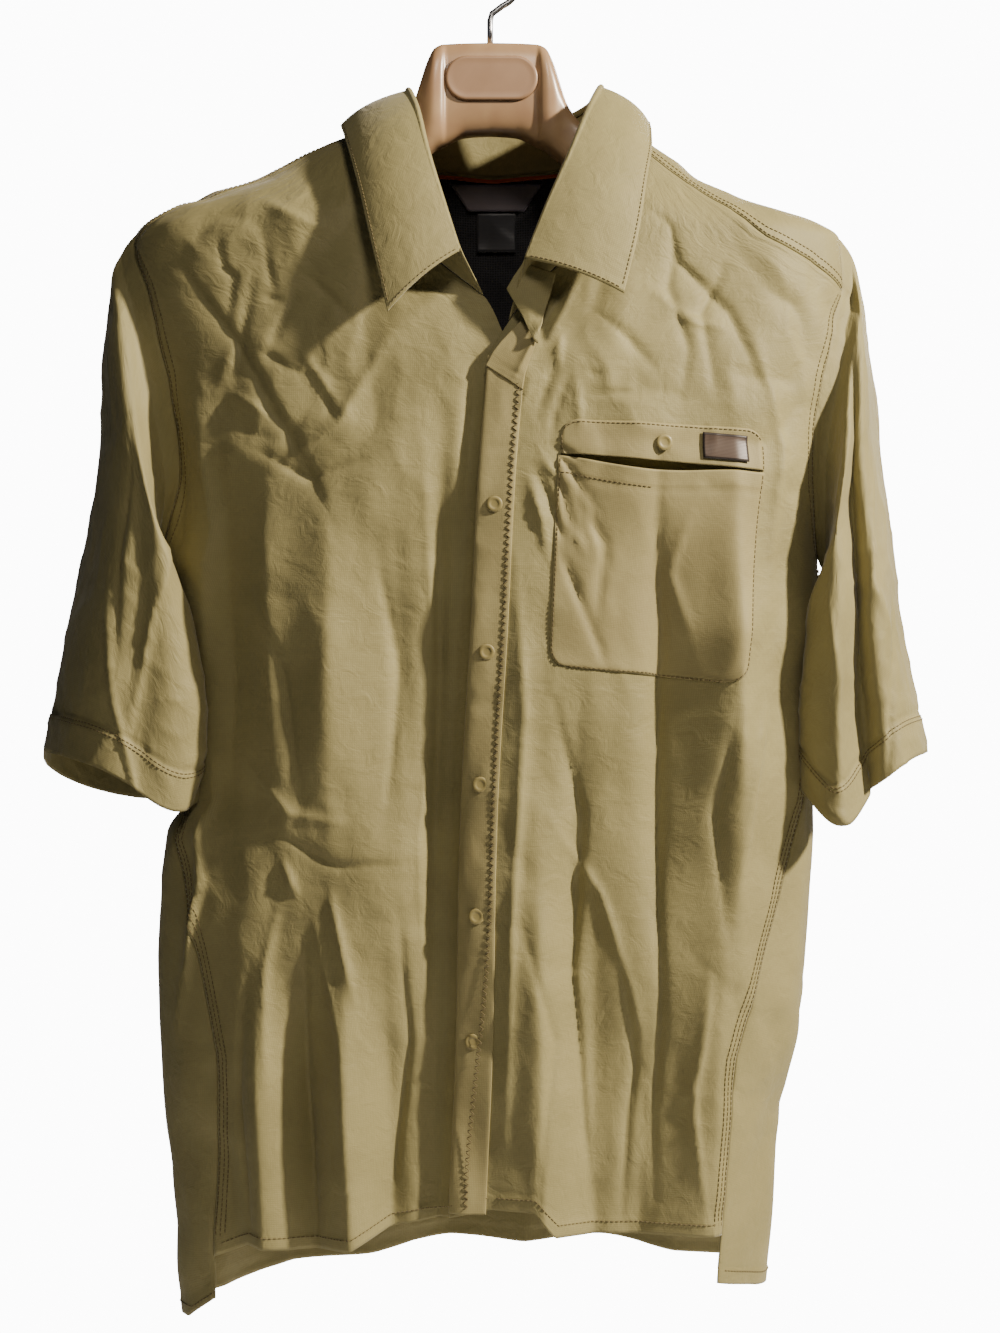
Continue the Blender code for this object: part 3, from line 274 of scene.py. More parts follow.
CREASES = (
    Crease("front", ((38, 332), (46, 334), (56, 342)), 3.2, 1.3, 0.3),
    Crease("front", ((38, 334), (48, 344), (62, 368)), 3.4, 1.5, -0.3),
    Crease("front", ((37, 336), (44, 356), (54, 392)), 4.0, 1.5, 0.3),
    Crease("front", ((37, 329), (40, 312), (50, 284)), 3.6, 1.2, 0.3),
    Crease("front", ((58, 356), (62, 384), (70, 410)), 3.4, -1.1, 0.3),
    Crease("front", ((52, 420), (66, 452), (72, 470)), 3.8, 1.2, -0.3),
    Crease("front", ((-170, 197), (-167, 218), (-160, 223), (-164, 251)), 5, 1.4, 0.3),
    Crease("front", ((-141, 174), (-115, 191), (-99, 195)), 6, -1.5, 0.3),
    Crease("front", ((-141, 201), (-135, 235)), 5, 1.3),
    Crease("front", ((-143, 236), (-127, 240)), 4, 1.1),
    Crease("front", ((-117, 230), (-137, 269)), 5, 1.6, -0.3),
    Crease("front", ((-143, 271), (-125, 282), (-113, 287)), 5, 1.5, 0.3),
    Crease("front", ((-115, 273), (-97, 301)), 5, -1.5),
    Crease("front", ((-115, 222), (-86, 251)), 6, 1.4, 0.3),
    Crease("front", ((-146, 214), (-160, 295)), 6, 1.3, -0.3),
    Crease("front", ((-160, 298), (-136, 312)), 5, -1.4),
    Crease("front", ((-142, 304), (-130, 316)), 4, 1.2),
    Crease("front", ((-103, 300), (-96, 315)), 4, 1.0),
    Crease("front", ((-177, 526), (-182, 606), (-190, 653), (-199, 700)), 6, -3.2, 0.3),
    Crease("front", ((-128, 588), (-119, 612)), 4, -2.0, 0.3),
    Crease("front", ((-99, 606), (-83, 675)), 6, -2.4, 0.3),
    Crease("front", ((-110, 620), (-92, 700), (-88, 790)), 7, -2.2, -0.3),
    Crease("front", ((-131, 617), (-139, 653), (-136, 735)), 6, -2.0, 0.3),
    Crease("front", ((42, 277), (28, 313)), 4, 1.4, -0.3),
    Crease("front", ((44, 262), (42, 284)), 4, -1.8, 0.3),
    Crease("front", ((54, 290), (56, 322)), 4, -1.3, 0.3),
    Crease("front", ((18, 312), (27, 288)), 4, -1.3),
    Crease("front", ((64, 300), (94, 299)), 4, 1.0),
    Crease("front", ((60, 287), (70, 288)), 3, 0.9),
    Crease("front", ((51, 230), (28, 267), (16, 290)), 7, -3.2, 0.3),
    Crease("front", ((33, 340), (41, 350), (50, 353)), 4, -1.6),
    Crease("front", ((29, 346), (38, 366), (46, 392)), 4, 1.8, 0.3),
    Crease("front", ((24, 350), (32, 378), (36, 400)), 5, -2.0),
    Crease("front", ((44, 398), (58, 432)), 4, 1.6, -0.3),
    Crease("front", ((48, 378), (60, 400)), 4, -1.2),
    Crease("front", ((104, 330), (108, 460), (106, 620), (104, 800)), 10, 3.4, 0.5),
    Crease("front", ((-196, 212), (-160, 262), (-120, 330), (-96, 380)), 9, 2.2, 0.4),
    Crease("front", ((-60, 262), (-92, 318), (-140, 352)), 8, -1.8, 0.3),
    Crease("front", ((-150, 330), (-112, 352), (-70, 338)), 7, 1.6, -0.3),
    Crease("front", ((-186, 300), (-176, 380), (-184, 470)), 10, -2.4, 0.3),
    Crease("front", ((-150, 420), (-128, 470), (-118, 560)), 9, 1.8, 0.3),
    Crease("front", ((-70, 400), (-58, 470), (-66, 560)), 9, 2.2, -0.4),
    Crease("front", ((-40, 330), (-36, 430), (-42, 560), (-38, 700)), 9, -2.6, 0.3),
    Crease("front", ((-160, 520), (-124, 560), (-84, 566)), 7, -1.5, 0.3),
    Crease("front", ((-140, 566), (-96, 592), (-50, 590)), 6, 1.5, 0.3),
    Crease("front", ((-56, 620), (-50, 700), (-62, 800)), 8, 2.6, 0.3),
    Crease("front", ((-150, 660), (-156, 740), (-148, 826)), 8, 2.6, -0.3),
    Crease("front", ((-114, 640), (-116, 730), (-108, 826)), 8, 3.0, 0.4),
    Crease("front", ((16, 400), (22, 500), (14, 620), (10, 760)), 8, -2.4, 0.3),
    Crease("front", ((40, 490), (58, 560), (52, 660), (64, 790)), 9, 3.0, 0.5),
    Crease("front", ((36, 560), (70, 610), (96, 700)), 7, -1.8, 0.3),
    Crease("front", ((150, 486), (138, 560), (144, 640)), 8, 2.2, -0.3),
    Crease("front", ((176, 470), (160, 540), (150, 610)), 7, -2.0, 0.3),
    Crease("front", ((134, 650), (124, 730), (130, 815)), 8, -2.6, 0.3),
    Crease("front", ((80, 640), (92, 720), (84, 812)), 7, 2.2, 0.3),
    Crease("front", ((20, 630), (40, 700), (30, 800)), 7, 2.0, -0.3),
    Crease("front", ((96, 178), (118, 214), (150, 246), (172, 300)), 8, 2.0, 0.4),
    Crease("front", ((100, 232), (124, 252), (152, 258)), 6, -1.5, 0.3),
    Crease("front", ((150, 210), (132, 248), (140, 300)), 7, 1.6, -0.3),
    Crease("front", ((116, 196), (112, 232), (124, 270), (118, 304)), 6, 1.5, 0.3),
    Crease("front", ((164, 262), (182, 330), (176, 420)), 9, -2.0, 0.3),
    Crease("front", ((60, 244), (84, 262), (104, 286)), 6, 1.3, 0.3),
    Crease("front", ((52, 362), (72, 392), (66, 440)), 6, 1.2, 0.3),
    Crease("front", ((124, 372), (112, 410), (126, 452)), 6, -1.2, 0.3),
    Crease("back", ((-150, 250), (-110, 330), (-120, 430)), 9, 2.0, 0.3),
    Crease("back", ((-96, 240), (-60, 300), (-70, 400)), 8, -1.8, 0.3),
    Crease("back", ((60, 236), (84, 330), (66, 420)), 8, 2.0, -0.3),
    Crease("back", ((110, 250), (140, 320), (122, 440)), 9, -2.0, 0.3),
    Crease("back", ((-140, 500), (-100, 560), (-110, 700)), 9, 2.2, 0.4),
    Crease("back", ((-60, 520), (-52, 640), (-66, 800)), 9, -2.4, 0.3),
    Crease("back", ((40, 480), (64, 600), (50, 780)), 9, 2.4, 0.3),
    Crease("back", ((120, 520), (100, 620), (116, 780)), 9, -2.2, 0.3),
    Crease("back", ((160, 300), (150, 400), (164, 520)), 8, 1.8, 0.3),
    Crease("back", ((-176, 320), (-164, 420), (-172, 560)), 8, -1.8, 0.3),
)
SLEEVE_CREASES = {
    -1: (
        Crease("ring", ((70, 330), (120, 318), (190, 322)), 8, 1.8, 0.3),
        Crease("ring", ((150, 70), (120, 150), (104, 250)), 11, 2.4, 0.4),
        Crease("ring", ((190, 170), (168, 230), (140, 270)), 8, -2.0, 0.3),
        Crease("ring", ((60, 190), (90, 240), (150, 290)), 8, 1.7, -0.3),
        Crease("ring", ((170, 250), (196, 290), (200, 330)), 7, 1.8, 0.3),
        Crease("ring", ((84, 90), (70, 160), (88, 220)), 9, -1.6, 0.3),
        Crease("ring", ((130, 290), (150, 320), (148, 352)), 6, -1.5, 0.3),
        Crease("ring", ((300, 90), (330, 170), (310, 260)), 9, 2.0, 0.3),
        Crease("ring", ((380, 120), (350, 200), (372, 300)), 9, -1.8, 0.3),
    ),
    1: (
        Crease("ring", ((40, 130), (64, 180), (44, 240)), 8, 1.8, 0.3),
        Crease("ring", ((30, 220), (60, 262), (84, 300)), 7, -1.6, 0.3),
        Crease("ring", ((140, 110), (126, 190), (140, 280)), 9, 2.0, -0.3),
        Crease("ring", ((160, 220), (136, 262), (120, 320)), 7, 1.6, 0.3),
        Crease("ring", ((56, 300), (80, 322), (96, 350)), 6, 1.4, 0.3),
        Crease("ring", ((300, 90), (330, 170), (310, 260)), 9, 2.0, 0.3),
        Crease("ring", ((390, 140), (360, 220), (378, 300)), 9, -1.8, 0.3),
    ),
}

NECKLINE = (
    Neck(-1.0, "front", -2, 240), Neck(-0.85, "front", -34, 214), Neck(-0.7, "front", -62, 184),
    Neck(-0.55, "front", -82, 150), Neck(-0.42, "back", -91, 123.5), Neck(-0.3, "back", -84, 127),
    Neck(-0.15, "back", -48, 136), Neck(0.0, "back", 2, 140), Neck(0.15, "back", 52, 136),
    Neck(0.3, "back", 89, 128), Neck(0.42, "back", 97, 124), Neck(0.55, "front", 89, 148),
    Neck(0.7, "front", 72, 187), Neck(0.85, "front", 44, 218), Neck(1.0, "front", 10, 258),
)
ROLL_LINE = (
    Line(-1.0, -18, -90, 214), Line(-0.85, -27, -84, 186), Line(-0.7, -38, -71, 150),
    Line(-0.55, -47, -46, 114), Line(-0.42, -54, -10, 95), Line(-0.3, -52, 18, 96),
    Line(-0.15, -30, 40, 103), Line(0.0, 8, 46, 106), Line(0.15, 44, 40, 103), Line(0.3, 69, 18, 95),
    Line(0.42, 73, -10, 93), Line(0.55, 64, -46, 114), Line(0.7, 50, -71, 150),
    Line(0.85, 34, -85, 188), Line(1.0, 22, -92, 219),
)
FALL_EDGE = (
    Line(-1.0, -62, -98, 252), Line(-0.85, -72, -88, 210), Line(-0.7, -82, -70, 168),
    Line(-0.55, -91, -43, 136), Line(-0.42, -97, -8, 117), Line(-0.3, -90, 31, 124),
    Line(-0.15, -55, 56, 145), Line(0.0, 4, 62, 152), Line(0.15, 62, 56, 145), Line(0.3, 96, 31, 124),
    Line(0.42, 104, -8, 117), Line(0.55, 103, -43, 136), Line(0.7, 98, -70, 165),
    Line(0.85, 92, -86, 200), Line(1.0, 82, -98, 241),
)
SLEEVES = {
    -1: (
        Cuff(1, -241, 197, -213, 408, 50, 44, 0, 0), Cuff(2, -248, 214, -213, 416, 58, 50, 0, 0),
        Cuff(3, -251, 256, -209, 427, 62, 55, 0, 0), Cuff(4, -254, 306, -203.5, 440, 64, 58, 2, 2),
        Cuff(5, -259, 358, -198.5, 458, 65, 60, 4, 5), Cuff(6, -267, 405, -195.5, 474, 66, 61, 6, 9),
        Cuff(7, -276, 446, -193.5, 494, 66, 62, 9, 13), Cuff(8, -284, 484, -193, 518, 65, 62, 13, 16),
        Cuff(9, -290, 523, -197, 545, 64, 61, 19, 20),
    ),
    1: (
        Cuff(1, 236, 200, 216, 408, 50, 44, 0, 0), Cuff(2, 242, 222, 218.5, 416, 58, 50, 0, 0),
        Cuff(3, 248, 262, 219, 428, 62, 55, 0, 0), Cuff(4, 252, 308, 218, 442, 64, 58, 3, 0),
        Cuff(5, 258, 352, 216, 458, 65, 60, 7, 0), Cuff(6, 264, 398, 213.5, 474, 66, 61, 12, 0),
        Cuff(7, 269, 440, 211, 492, 66, 62, 19, 0), Cuff(8, 277, 482, 210, 514, 65, 62, 26, 0),
        Cuff(9, 285, 524, 211.5, 541, 64, 61, 34, 0),
    ),
}
FRONT_LOW_DEGREES = {-1: 124, 1: 102}
GROOVES = {-1: Groove(6, 60, 100, 17), 1: Groove(25, 55, 84, 15)}
HANGER_NECK = (
    Bar(0, 61.5, 121, 12.5), Bar(16, 61.8, 122, 12.5), Bar(30, 62.5, 128, 12.5), Bar(36, 65, 131, 12.3),
    Bar(41, 74, 135, 12), Bar(45, 86, 138, 12), Bar(50, 101, 142, 12.5), Bar(57, 112, 146, 13),
    Bar(66, 121, 150, 14), Bar(78, 129, 154, 14), Bar(90, 132, 156, 14),
)


def ease(t: Array | float) -> Array:
    """Smooth step from 0 to 1."""
    t = np.clip(t, 0.0, 1.0)
    return t * t * (3 - 2 * t)


def unit(vectors: Array) -> Array:
    """Vectors made one long."""
    return vectors / np.maximum(np.linalg.norm(vectors, axis=-1, keepdims=True), 1e-9)


def signed_power(value: Array, power: float) -> Array:
    """A power that keeps the sign."""
    return np.sign(value) * np.abs(value) ** power


def lookup(rows: Sequence[tuple], value: str, at: Array | float) -> Array:
    """A table's column against its key, straight between rows."""
    return np.interp(at, [row[0] for row in rows], [getattr(row, value) for row in rows])


def smooth_lookup(rows: Sequence[tuple], value: str, at: Array | float) -> Array:
    """A table's column against its key through a smooth curve that never overshoots.

    Args:
        rows: the table, with rising keys.
        value: the column's name.
        at: the keys to read at.

    Returns:
        The column's values there.
    """
    xs = np.array([row[0] for row in rows], float)
    ys = np.array([getattr(row, value) for row in rows], float)
    step = np.diff(xs)
    slope = np.diff(ys) / step
    tangent = np.zeros(len(xs))
    product = slope[:-1] * slope[1:]
    total = np.where(product > 0, slope[:-1] + slope[1:], 1.0)
    tangent[1:-1] = np.where(product > 0, 2 * product / total, 0.0)
    tangent[0] = slope[0]
    tangent[-1] = slope[-1]
    at = np.clip(np.asarray(at, float), xs[0], xs[-1])
    i = np.clip(np.searchsorted(xs, at, side="right") - 1, 0, len(xs) - 2)
    h = step[i]
    t = (at - xs[i]) / h
    return (
        ys[i] * (1 + 2 * t) * (1 - t) ** 2
        + tangent[i] * h * t * (1 - t) ** 2
        + ys[i + 1] * t * t * (3 - 2 * t)
        + tangent[i + 1] * h * t * t * (t - 1)
    )


def grid_normals(points: Array, loop: bool = False) -> Array:
    """Outward unit normals of a grid whose columns run on with "round" and rows run down."""
    if loop:
        across = np.roll(points, -1, axis=1) - np.roll(points, 1, axis=1)
    else:
        across = np.gradient(points, axis=1)
    return unit(np.cross(np.gradient(points, axis=0), across))


class SoftNoise:
    """Seeded smooth noise in space, for the uneven lie of cloth."""

    def __init__(self, seed: int) -> None:
        """Draws the gradients once."""
        draw = np.random.default_rng(seed)
        self.gradients = unit(draw.normal(size=(512, 3)))
        self.mix = draw.permutation(512)

    def at(self, points: Array, size: float) -> Array:
        """Noise from about -1 to 1.

        Args:
            points: places in millimetres.
            size: the width of one bump in millimetres.

        Returns:
            One value for each place.
        """
        p = points / size
        cell = np.floor(p).astype(int)
        local = p - cell
        fade = local ** 3 * (local * (local * 6 - 15) + 10)
        total = np.zeros(points.shape[:-1])
        for corner in np.ndindex(2, 2, 2):
            at = cell + np.array(corner)
            key = self.mix[(at[..., 0] + self.mix[(at[..., 1] + self.mix[at[..., 2] % 512]) % 512]) % 512]
            toward = (self.gradients[key] * (local - np.array(corner))).sum(-1)
            share = np.prod(np.where(np.array(corner) == 1, fade, 1 - fade), axis=-1)
            total += toward * share
        return total * 1.6

    def ridges(self, points: Array, size: float) -> Array:
        """Sharp-crested crumple, from 0 in the facets to 1 on the crests."""
        return np.clip(1 - np.abs(self.at(points, size)) * 2.2, 0, 1) ** 2


@dataclass
class BodyForm:
    """The hanging body's form: sections, long folds, pressed creases and soft crumple."""

    sections: tuple[Section, ...] = BODY
    folds: tuple[Fold, ...] = FOLDS
    creases: tuple[Crease, ...] = CREASES
    crease_nose: float = 0.5
    crease_span: float = 0.68
    fold_gain: float = 1.2
    fold_power: float = 1.45
    lie_size: float = 62.0
    lie_height: float = 2.4
    crumple_size: float = 52.0
    crumple_height: float = 6.0
    crease_gain: float = 1.75
    facet_size: float = 25.0
    facet_height: float = 1.1
    drape_size: float = 24.0
    drape_height: float = 2.2
    drape_stretch: float = 0.22
    angle: Array = field(init=False)
    run: Array = field(init=False)

    def __post_init__(self) -> None:
        """Works out the reference girth, which turns an angle into a distance round."""
        power = 2 / SECTION_POWER
        self.angle = np.linspace(-math.pi, math.pi, 2881)
        x = GIRTH_WIDE * signed_power(np.sin(self.angle), power)
        deep = np.where(np.cos(self.angle) > 0, GIRTH_FRONT, GIRTH_BACK)
        y = deep * signed_power(np.cos(self.angle), power)
        run = np.concatenate([[0], np.cumsum(np.hypot(np.diff(x), np.diff(y)))])
        self.run = run - run[len(run) // 2]
        self.side = float(np.interp(math.pi / 2, self.angle, self.run))
        self.back = float(self.run[-1])
        self.noise = SoftNoise(11)

    def round_at(self, x: Array | float, drop: Array | float, face: str = "front") -> Array:
        """Distance round the body of a place given by x and drop on the front or the back."""
        x = np.asarray(x, float)
        minus, plus = (smooth_lookup(self.sections, name, drop) for name in ("minus", "plus"))
        ratio = np.clip(np.abs(x) / np.where(x < 0, minus, plus), 0, 1)
        angle = np.arcsin(ratio ** (SECTION_POWER / 2))
        if face == "back":
            angle = math.pi - angle
        return np.interp(angle, self.angle, self.run) * np.where(x < 0, -1, 1)

    def plain(self, around: Array, drop: Array) -> Array:
        """Points of the body without folds, at distances round and drops."""
        drop = np.asarray(drop, float)
        angle = np.interp(around, self.run, self.angle)
        sine, cosine = np.sin(angle), np.cos(angle)
        minus, plus = (smooth_lookup(self.sections, name, drop) for name in ("minus", "plus"))
        front, back = (smooth_lookup(self.sections, name, drop) for name in ("front", "back"))
        wide, deep = np.where(sine < 0, minus, plus), np.where(cosine > 0, front, back)
        power = 2 / SECTION_POWER
        x, y = wide * signed_power(sine, power), -deep * signed_power(cosine, power)
        return np.stack([x, y, -drop], axis=-1)

    def fold_lift(self, around: Array, drop: Array) -> Array:
        """How far the long folds lift the cloth off the plain body."""
        lift = np.zeros(np.broadcast(around, drop).shape)
        for fold in self.folds:
            along = (drop - fold.top) / (fold.end - fold.top)
            x = fold.x_top + (fold.x_end - fold.x_top) * along
            away = np.abs(around - self.round_at(x, drop, fold.face))
            away = np.minimum(away, 2 * self.back - away)
            inside = np.clip(along, 0, 1)
            strength = ease(inside * 1.6) if fold.is_open else np.sin(math.pi * inside) ** 2
            lift = lift + self.fold_gain * fold.height * strength * np.exp(-(away / fold.width) ** self.fold_power)
        return lift

    def crease_lift(self, around: Array, drop: Array) -> Array:
        """How far the pressed creases lift the cloth."""
        around, drop = np.broadcast_arrays(around, drop)
        lift = np.zeros(around.shape)
        for crease in self.creases:
            line = [(float(self.round_at(x, d, crease.face)), d) for x, d in crease.points]
            lift += self.one_crease(crease, np.array(line), around, drop)
        return lift

    def one_crease(self, crease: Crease, line: Array, around: Array, drop: Array) -> Array:
        """The lift of one crease.

        Args:
            crease: its width, height and lean.
            line: its points as distances round and drops.
            around: distances round of the places asked for.
            drop: drops of those places.

        Returns:
            The lift at each place.
        """
        reach = crease.width * 5
        near = (around > line[:, 0].min() - reach) & (around < line[:, 0].max() + reach)
        near &= (drop > line[:, 1].min() - reach) & (drop < line[:, 1].max() + reach)
        lift = np.zeros(around.shape)
        if not near.any():
            return lift
        at = np.stack([around[near], drop[near]], axis=-1)
        lengths = np.linalg.norm(np.diff(line, axis=0), axis=1)
        starts = np.concatenate([[0], np.cumsum(lengths)])
        best = np.full(len(at), 1e9)
        signed = np.zeros(len(at))
        share = np.zeros(len(at))
        for start, step, length, begin in zip(line, np.diff(line, axis=0), lengths, starts):
            t = np.clip(((at - start) @ step) / length ** 2, 0, 1)
            offset = at - start - t[:, None] * step
            away = np.linalg.norm(offset, axis=1)
            closer = away < best
            side = np.sign(step[0] * offset[:, 1] - step[1] * offset[:, 0])
            signed[closer] = side[closer]
            share[closer] = (begin + t * length)[closer] / starts[-1]
            best = np.where(closer, away, best)
        width = self.crease_span * crease.width * (1 + crease.lean * signed)
        nose = self.crease_nose
        flank = np.exp(-(np.sqrt(best ** 2 + nose ** 2) - nose) / width * 1.5)
        gain = -self.crease_gain if crease.face == "front" else self.crease_gain
        lift[near] = gain * crease.height * flank * np.sin(math.pi * np.clip(share, 0.03, 0.97)) ** 0.7
        return lift

    def lie(self, plain: Array) -> Array:
        """The soft unevenness and crumple of cloth that was folded away, strongest at the chest."""
        drop = -plain[..., 2]
        soft = self.lie_height * self.noise.at(plain, self.lie_size)
        soft = soft * ease((drop - 130) / 60)
        chest = ease((drop - 140) / 50) * (1 - ease((drop - 330) / 90))
        strength = 0.4 + 0.6 * chest * ease((np.abs(plain[..., 0]) - 30) / 60)
        warped = plain + 6 * self.noise.at(plain, 48.0)[..., None]
        patchy = ease(0.5 + 1.6 * self.noise.at(plain + 300, 85.0))
        crumple = self.crumple_height * strength * patchy * np.abs(self.noise.at(warped, self.crumple_size))
        facets = 1 - np.abs(self.noise.at(warped * np.array([1, 1, 0.7]) + 700, self.facet_size))
        crumple = crumple + self.facet_height * (0.35 + strength) * patchy * facets ** 2
        hanging = warped * np.array([1, 1, self.drape_stretch])
        drape = self.drape_height * ease((drop - 300) / 260) * self.noise.at(hanging, self.drape_size)
        return soft + crumple + drape

    def normal(self, around: Array, drop: Array) -> Array:
        """Outward normals of the plain body."""
        reach = 1.5
        across = self.plain(around + reach, drop) - self.plain(around - reach, drop)
        down = self.plain(around, drop + reach) - self.plain(around, drop - reach)
        return unit(np.cross(down, across))

    def point(self, around: Array, drop: Array, out: Array | float = 0.0) -> Array:
        """Points on the cloth, moved out by a distance."""
        around, drop = np.broadcast_arrays(np.asarray(around, float), np.asarray(drop, float))
        plain = self.plain(around, drop)
        lift = self.fold_lift(around, drop) + self.crease_lift(around, drop) + self.lie(plain)
        return plain + self.normal(around, drop) * (lift + out)[..., None]

    def wrapped(self, around: Array) -> Array:
        """Distances round brought back to the range of the girth."""
        return (around + self.back) % (2 * self.back) - self.back


def linear(colour: str) -> tuple[float, float, float, float]:
    """A linear colour from an sRGB hex value."""
    values = [int(colour[i:i + 2], 16) / 255 for i in (1, 3, 5)]
    turned = [v / 12.92 if v <= 0.04045 else ((v + 0.055) / 1.055) ** 2.4 for v in values]
    return (turned[0], turned[1], turned[2], 1.0)


def add(tree: bpy.types.NodeTree, kind: str, settings: dict | None = None,
        links: dict | None = None) -> bpy.types.Node:
    """Adds a node.

    Args:
        tree: the material's node tree.
        kind: Blender's name for the node.
        settings: values by property name, or by input name or number.
        links: source sockets by input name or number.

    Returns:
        The new node.
    """
    node = tree.nodes.new(kind)
    for name, value in (settings or {}).items():
        if isinstance(name, str) and hasattr(node, name):
            setattr(node, name, value)
        else:
            node.inputs[name].default_value = value
    for name, source in (links or {}).items():
        tree.links.new(source, node.inputs[name])
    return node


def blank_material(name: str) -> tuple[bpy.types.Material, bpy.types.NodeTree, bpy.types.Node]:
    """A new material with its node tree and its Principled shader."""
    made = bpy.data.materials.new(name)
    made.use_nodes = True
    return made, made.node_tree, made.node_tree.nodes["Principled BSDF"]


def set_shader(shader: bpy.types.Node, **values: float) -> None:
    """Sets the shader's own sockets; an underscore in a name stands for a blank."""
    for name, value in values.items():
        shader.inputs[name.replace("_", " ")].default_value = value


WAVE_PERIOD = 2 * math.pi / 20      # of Blender's wave texture at scale 1


@dataclass(frozen=True)
class WovenCloth:
    """Plain-woven polyester shirting: matt, faintly lustrous, with a fine square weave.

    The threads are 0.3 mm apart on the real cloth. They are drawn at thread_mm, as coarse as
    they need to be to show.
    """

    name: str
    light: str
    dark: str
    roughness: float = 0.62
    thread_mm: float = 1.1
    weave_depth_mm: float = 0.05
    wrinkle_mm: float = 12.0
    wrinkle_depth_mm: float = 1.6
    sheen: float = 0.18

    def make(self) -> bpy.types.Material:
        """Builds the material."""
        made, tree, shader = blank_material(self.name)
        set_shader(shader, Roughness=self.roughness, Sheen_Weight=self.sheen, Sheen_Roughness=0.4,
                   Specular_IOR_Level=0.32, IOR=1.5)
        place = add(tree, "ShaderNodeAttribute", {"attribute_name": "cloth_mm"}).outputs["Vector"]
        scale = WAVE_PERIOD / self.thread_mm
        bands = [
            add(tree, "ShaderNodeTexWave", {"bands_direction": way, "Scale": scale}, {"Vector": place})
            for way in ("X", "Y")
        ]
        weave = add(tree, "ShaderNodeMath", {"operation": "MULTIPLY"},
                    {0: bands[0].outputs["Fac"], 1: bands[1].outputs["Fac"]})
        slub = add(tree, "ShaderNodeTexNoise", {"Scale": 0.35, "Detail": 3.0}, {"Vector": place})
        shade = add(tree, "ShaderNodeTexNoise", {"Scale": 0.018, "Detail": 4.0}, {"Vector": place})
        tone = add(tree, "ShaderNodeMath", {"operation": "MULTIPLY_ADD", 1: 0.35},
                   {0: weave.outputs[0], 2: shade.outputs["Fac"]})
        tone = add(tree, "ShaderNodeMath", {"operation": "MULTIPLY_ADD", 1: 0.25},
                   {0: slub.outputs["Fac"], 2: tone.outputs[0]})
        spread = add(tree, "ShaderNodeMapRange", {"From Min": 0.35, "From Max": 1.05},
                     {"Value": tone.outputs[0]})
        colour = add(tree, "ShaderNodeMix",
                     {"data_type": "RGBA", 6: linear(self.dark), 7: linear(self.light)},
                     {0: spread.outputs["Result"]})
        tree.links.new(colour.outputs[2], shader.inputs["Base Color"])
        wrinkle = add(tree, "ShaderNodeTexNoise",
                      {"Scale": 1 / self.wrinkle_mm, "Detail": 5.0, "Roughness": 0.55, "Distortion": 0.6},
                      {"Vector": place})
        soft = add(tree, "ShaderNodeBump", {"Strength": 0.6, "Distance": self.wrinkle_depth_mm * MM},
                   {"Height": wrinkle.outputs["Fac"]})
        fine = add(tree, "ShaderNodeBump", {"Strength": 0.6, "Distance": self.weave_depth_mm * MM},
                   {"Height": weave.outputs[0], "Normal": soft.outputs["Normal"]})
        tree.links.new(fine.outputs["Normal"], shader.inputs["Normal"])
        return made


@dataclass(frozen=True)
class KnittedMesh:
    """Black warp-knitted polyester mesh: rows of small round holes, dull, almost no shine; the holes are painted
    near-black, as painted shade of the shaded cloth behind the mesh.
    """

    name: str = "mesh_polyester_knitted"
    hole_mm: float = 1.7
    thread: str = "#26262a"
    # painted shade: the holes' colour stands for the shaded inside of the shirt seen through them
    hole: str = "#050506"

    def make(self) -> bpy.types.Material:
        """Builds the material."""
        made, tree, shader = blank_material(self.name)
        set_shader(shader, Roughness=0.75, Specular_IOR_Level=0.3, IOR=1.5)
        place = add(tree, "ShaderNodeAttribute", {"attribute_name": "cloth_mm"}).outputs["Vector"]
        holes = add(tree, "ShaderNodeTexVoronoi", {"Scale": 1 / self.hole_mm, "Randomness": 0.15},
                    {"Vector": place})
        edge = add(tree, "ShaderNodeMapRange", {"From Min": 0.22, "From Max": 0.42},
                   {"Value": holes.outputs["Distance"]})
        colour = add(tree, "ShaderNodeMix",
                     {"data_type": "RGBA", 6: linear(self.hole), 7: linear(self.thread)},
                     {0: edge.outputs["Result"]})
        bump = add(tree, "ShaderNodeBump", {"Strength": 0.8, "Distance": 0.2 * MM},
                   {"Height": edge.outputs["Result"]})
        tree.links.new(colour.outputs[2], shader.inputs["Base Color"])
        tree.links.new(bump.outputs["Normal"], shader.inputs["Normal"])
        return made


